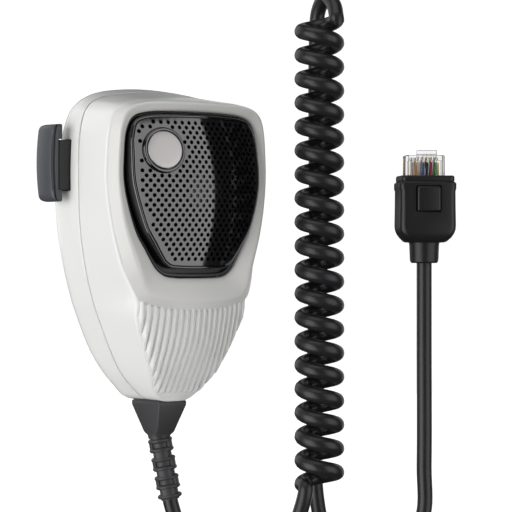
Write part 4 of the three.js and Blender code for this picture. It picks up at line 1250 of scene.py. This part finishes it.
def plug_contacts():
    for k in range(8):
        x = wire_x(k)
        sides = (x - SLOT_HALF / 2, x + SLOT_HALF / 2, 1.4, PLUG_BACK - 0.3, 18.3, PLUG_NOSE - 1.1)
        contact = plug_box(f"contact_blade_{k + 1}", *sides, corner=0.08)
        finish_piece(contact, f"plug_contact_{k + 1}", "gold_contact")


def plug_latch():
    """The latch is built upright round its root, then leant and moved to the plug's nose."""
    blade = rounded_box("latch_lever", -3, 3, -0.4, 0.4, -6.5, 1.6, corner=0.2)
    tail = rounded_box("tail", -1.9, 1.9, -0.4, 0.4, -13.6, -6, corner=0.2)
    carve(blade, [tail], "UNION")
    lean = Matrix.Rotation(-LATCH_LEAN, 3, "X")
    for vertex in blade.data.vertices:
        own = vertex.co * 1000 - SEAM_ORIGIN
        vertex.co = in_plug(lean @ own + LATCH_PIVOT)
    finish_piece(blade, "plug_latch", "clear_plastic", "latch")


# Boot: width, depth, corner and z of its levels, round its own middle and then down its neck
BOOT_LEVELS = [
    (13.2, 8.8, 0.8, 18.3), (13.6, 9.2, 0.9, 18.9), (15.2, 11.0, 1.1, 18.9), (15.6, 11.4, 1.3, 18.7),
    (15.9, 11.6, 1.5, 18.3), (15.9, 11.6, 1.5, 17.4), (15.6, 11.3, 1.4, 17.2), (16.3, 11.8, 1.5, 16.9),
    (17.0, 12.0, 1.7, 16.6), (17.0, 12.0, 1.7, 15.0), (16.5, 12.0, 1.7, 14.4), (16.6, 12.0, 1.8, 10.0),
    (16.8, 12.0, 1.8, 4.2), (16.6, 11.9, 1.9, 3.0), (16.0, 11.5, 2.2, 1.9), (14.6, 10.6, 2.6, 0.7),
]
BOOT_SHOULDER = [(12.6, 10.0, 3.4, -0.4, -0.9), (11.6, 9.6, 3.7, -0.7, -0.7)]
BOOT_NECK = [
    (9.0, 9.0, 4.2, -0.8), (8.8, 8.8, 4.3, -1.6), (8.5, 8.5, 4.2, -5.6), (8.2, 8.2, 4.0, -6.4),
    (7.4, 7.4, 3.6, -6.8), (5.2, 5.2, 2.55, -6.8),
]


def plug_boot():
    levels = [(*row, BOOT_MIDDLE) for row in BOOT_LEVELS] + BOOT_SHOULDER + [(*row, 0) for row in BOOT_NECK]
    shell = mesh_object("boot_shell", *loft([level_ring(*row, 6) for row in levels]), place=in_plug)
    wide = PAD_HALF + GAP
    bore = [(0, -10), (2.4, -10), (2.4, 4), (0, 4)]
    carve(shell, [
        plug_box("cavity", -6.15, 6.15, -BOOT_CAVITY, PLUG_BACK + GAP, 2.8, 20, corner=0.3),
        plug_box("window", -wide, wide, -12, -5, PAD_LOW - GAP, PAD_HIGH + GAP, corner=0.5),
        mesh_object("bore", *lathe(bore, 40, (0, 0, 0), (0, 0, 1)), place=in_plug),
    ])
    finish_piece(shell, "plug_boot", "black_rubber")


def release_pad():
    """The pad's face and the bars behind the boot's wall that keep it in its window, clear of the latch."""
    face = (-PAD_HALF, PAD_HALF, -8.5, -6.06, PAD_LOW, PAD_HIGH)
    pad = plug_box("release_pad_face", *face, corner=0.6, steps=4)
    front = 0.06 - BOOT_CAVITY
    bars = [plug_box("bar", x, x + 1.9, front, -5.6, 7.4, 16.7, corner=0.2) for x in (-4.5, 2.6)]
    bars.append(plug_box("bar", -4.4, 4.4, front + 0.02, -5.65, 7.5, 8.9, corner=0.15))
    bars.append(plug_box("bar", -4.4, 4.4, front + 0.02, -5.95, 15.2, 16.6, corner=0.05))
    carve(pad, bars, "UNION")
    finish_piece(pad, "boot_release_pad", "black_rubber", "release_pad")


# ---- pieces kept from the frame


def dress_frame_nodes():
    slots = {part["node"]: part["material_slot"] for part in frame["record"]["subparts"]}
    for name, obj in frame["nodes"].items():
        look = LOOKS[slots[name]]
        if not obj.data.materials:
            obj.data.materials.append(look)
        for place in obj.material_slots:
            place.link = "OBJECT"
            place.material = look


# ---- studio


def studio_surface():
    """White paper that glows far more for the camera than for the object, whose edges so stay darker."""
    look, tree, shader, place = node_material("studio paper", (0.5, 0.5, 0.5), 0.9)
    shader.inputs["Specular IOR Level"].default_value = 0.0
    shader.inputs["Emission Color"].default_value = (1, 1, 1, 1)
    ray = tree.nodes.new("ShaderNodeLightPath").outputs["Is Camera Ray"]
    vary(tree, ray, shader.inputs["Emission Strength"], PAPER_GLOW, PAPER_GLOW_SEEN)
    fibres = add_noise(tree, place, 40)
    roughen(tree, fibres.outputs["Fac"], shader, 0.02, 0.0005)
    return look


def backdrop():
    """A floor that sweeps up into a wall behind the object, seen from the camera."""
    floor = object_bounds()[0][2] * 1000 - 1
    profile = [(-PAPER_REACH, 0), (PAPER_START, 0)]
    profile += arc(PAPER_START, PAPER_BEND, PAPER_BEND, 270, 360, 16)
    profile += [(PAPER_START + PAPER_BEND, PAPER_REACH)]
    verts = []
    faces = []
    for away, up in profile:
        for across in (-PAPER_SIDE, PAPER_SIDE):
            verts.append(plane_point(across, away, floor + up) / 1000)
    for k in range(len(profile) - 1):
        faces.append((2 * k, 2 * k + 1, 2 * k + 3, 2 * k + 2))
    paper = mesh_object("backdrop", verts, faces, place=Vector)
    paper.data.shade_smooth()
    paper.data.materials.append(studio_surface())
    paper.visible_glossy = False
    paper.visible_shadow = False
    paper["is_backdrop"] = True


def soft_box(name, azimuth, elevation, distance, width, height, brightness):
    """A soft box that only the camera can't see. Azimuth 0 faces the talk side and grows towards +x."""
    light = bpy.data.lights.new(name, "AREA")
    light.shape = "RECTANGLE"
    light.size = width / 1000
    light.size_y = height / 1000
    light.energy = brightness * math.pi * light.size * light.size_y
    obj = bpy.data.objects.new(name, light)
    a = math.radians(azimuth)
    e = math.radians(elevation)
    out = Vector((math.sin(a) * math.cos(e), -math.cos(a) * math.cos(e), math.sin(e)))
    obj.location = (LIGHT_AIM + out * distance) / 1000
    obj.rotation_euler = out.to_track_quat("Z", "Y").to_euler()
    obj.visible_camera = False
    bpy.context.scene.collection.objects.link(obj)


def world():
    """Dim light from everywhere, which the camera itself sees as white."""
    studio = bpy.data.worlds.new("studio")
    studio.use_nodes = True
    tree = studio.node_tree
    background = tree.nodes["Background"]
    background.inputs["Color"].default_value = (1, 1, 1, 1)
    ray = tree.nodes.new("ShaderNodeLightPath").outputs["Is Camera Ray"]
    vary(tree, ray, background.inputs["Strength"], WORLD_LIGHT, 1.0)
    bpy.context.scene.world = studio


def lights():
    soft_box("front box", 19, -3, 620, 560, 790, 1.75)
    soft_box("left box", -90, -12, 900, 900, 1300, 3.15)
    soft_box("top box", -60, 72, 900, 900, 900, 1.3)
    soft_box("right box", 112, 5, 900, 900, 900, 0.7)
    soft_box("back box", 190, 20, 900, 900, 900, 0.9)


def camera():
    """Straight in front of the microphone's turned middle, swung towards the coil and the plug."""
    data = bpy.data.cameras.new("camera")
    data.lens = CAMERA_LENS
    data.sensor_width = 36
    data.clip_end = 100
    obj = bpy.data.objects.new("camera", data)
    obj.location = in_microphone(plane_point(0, -CAMERA_DISTANCE, CAMERA_Z))
    backwards = plane_point(-CAMERA_ACROSS, -CAMERA_DISTANCE, 0)
    obj.rotation_euler = backwards.to_track_quat("Z", "Y").to_euler()
    bpy.context.scene.collection.objects.link(obj)
    bpy.context.scene.camera = obj


# ---- everything together

bpy.context.scene.view_settings.view_transform = "Standard"
dress_frame_nodes()
rear_shell()
front_shell()
bezel()
grille()
badge()
paddle()
stem()
hang_up_button()
case_screws()
strain_relief()
cord()
plug_body()
plug_wires()
plug_contacts()
plug_latch()
plug_boot()
release_pad()
backdrop()
world()
lights()
camera()
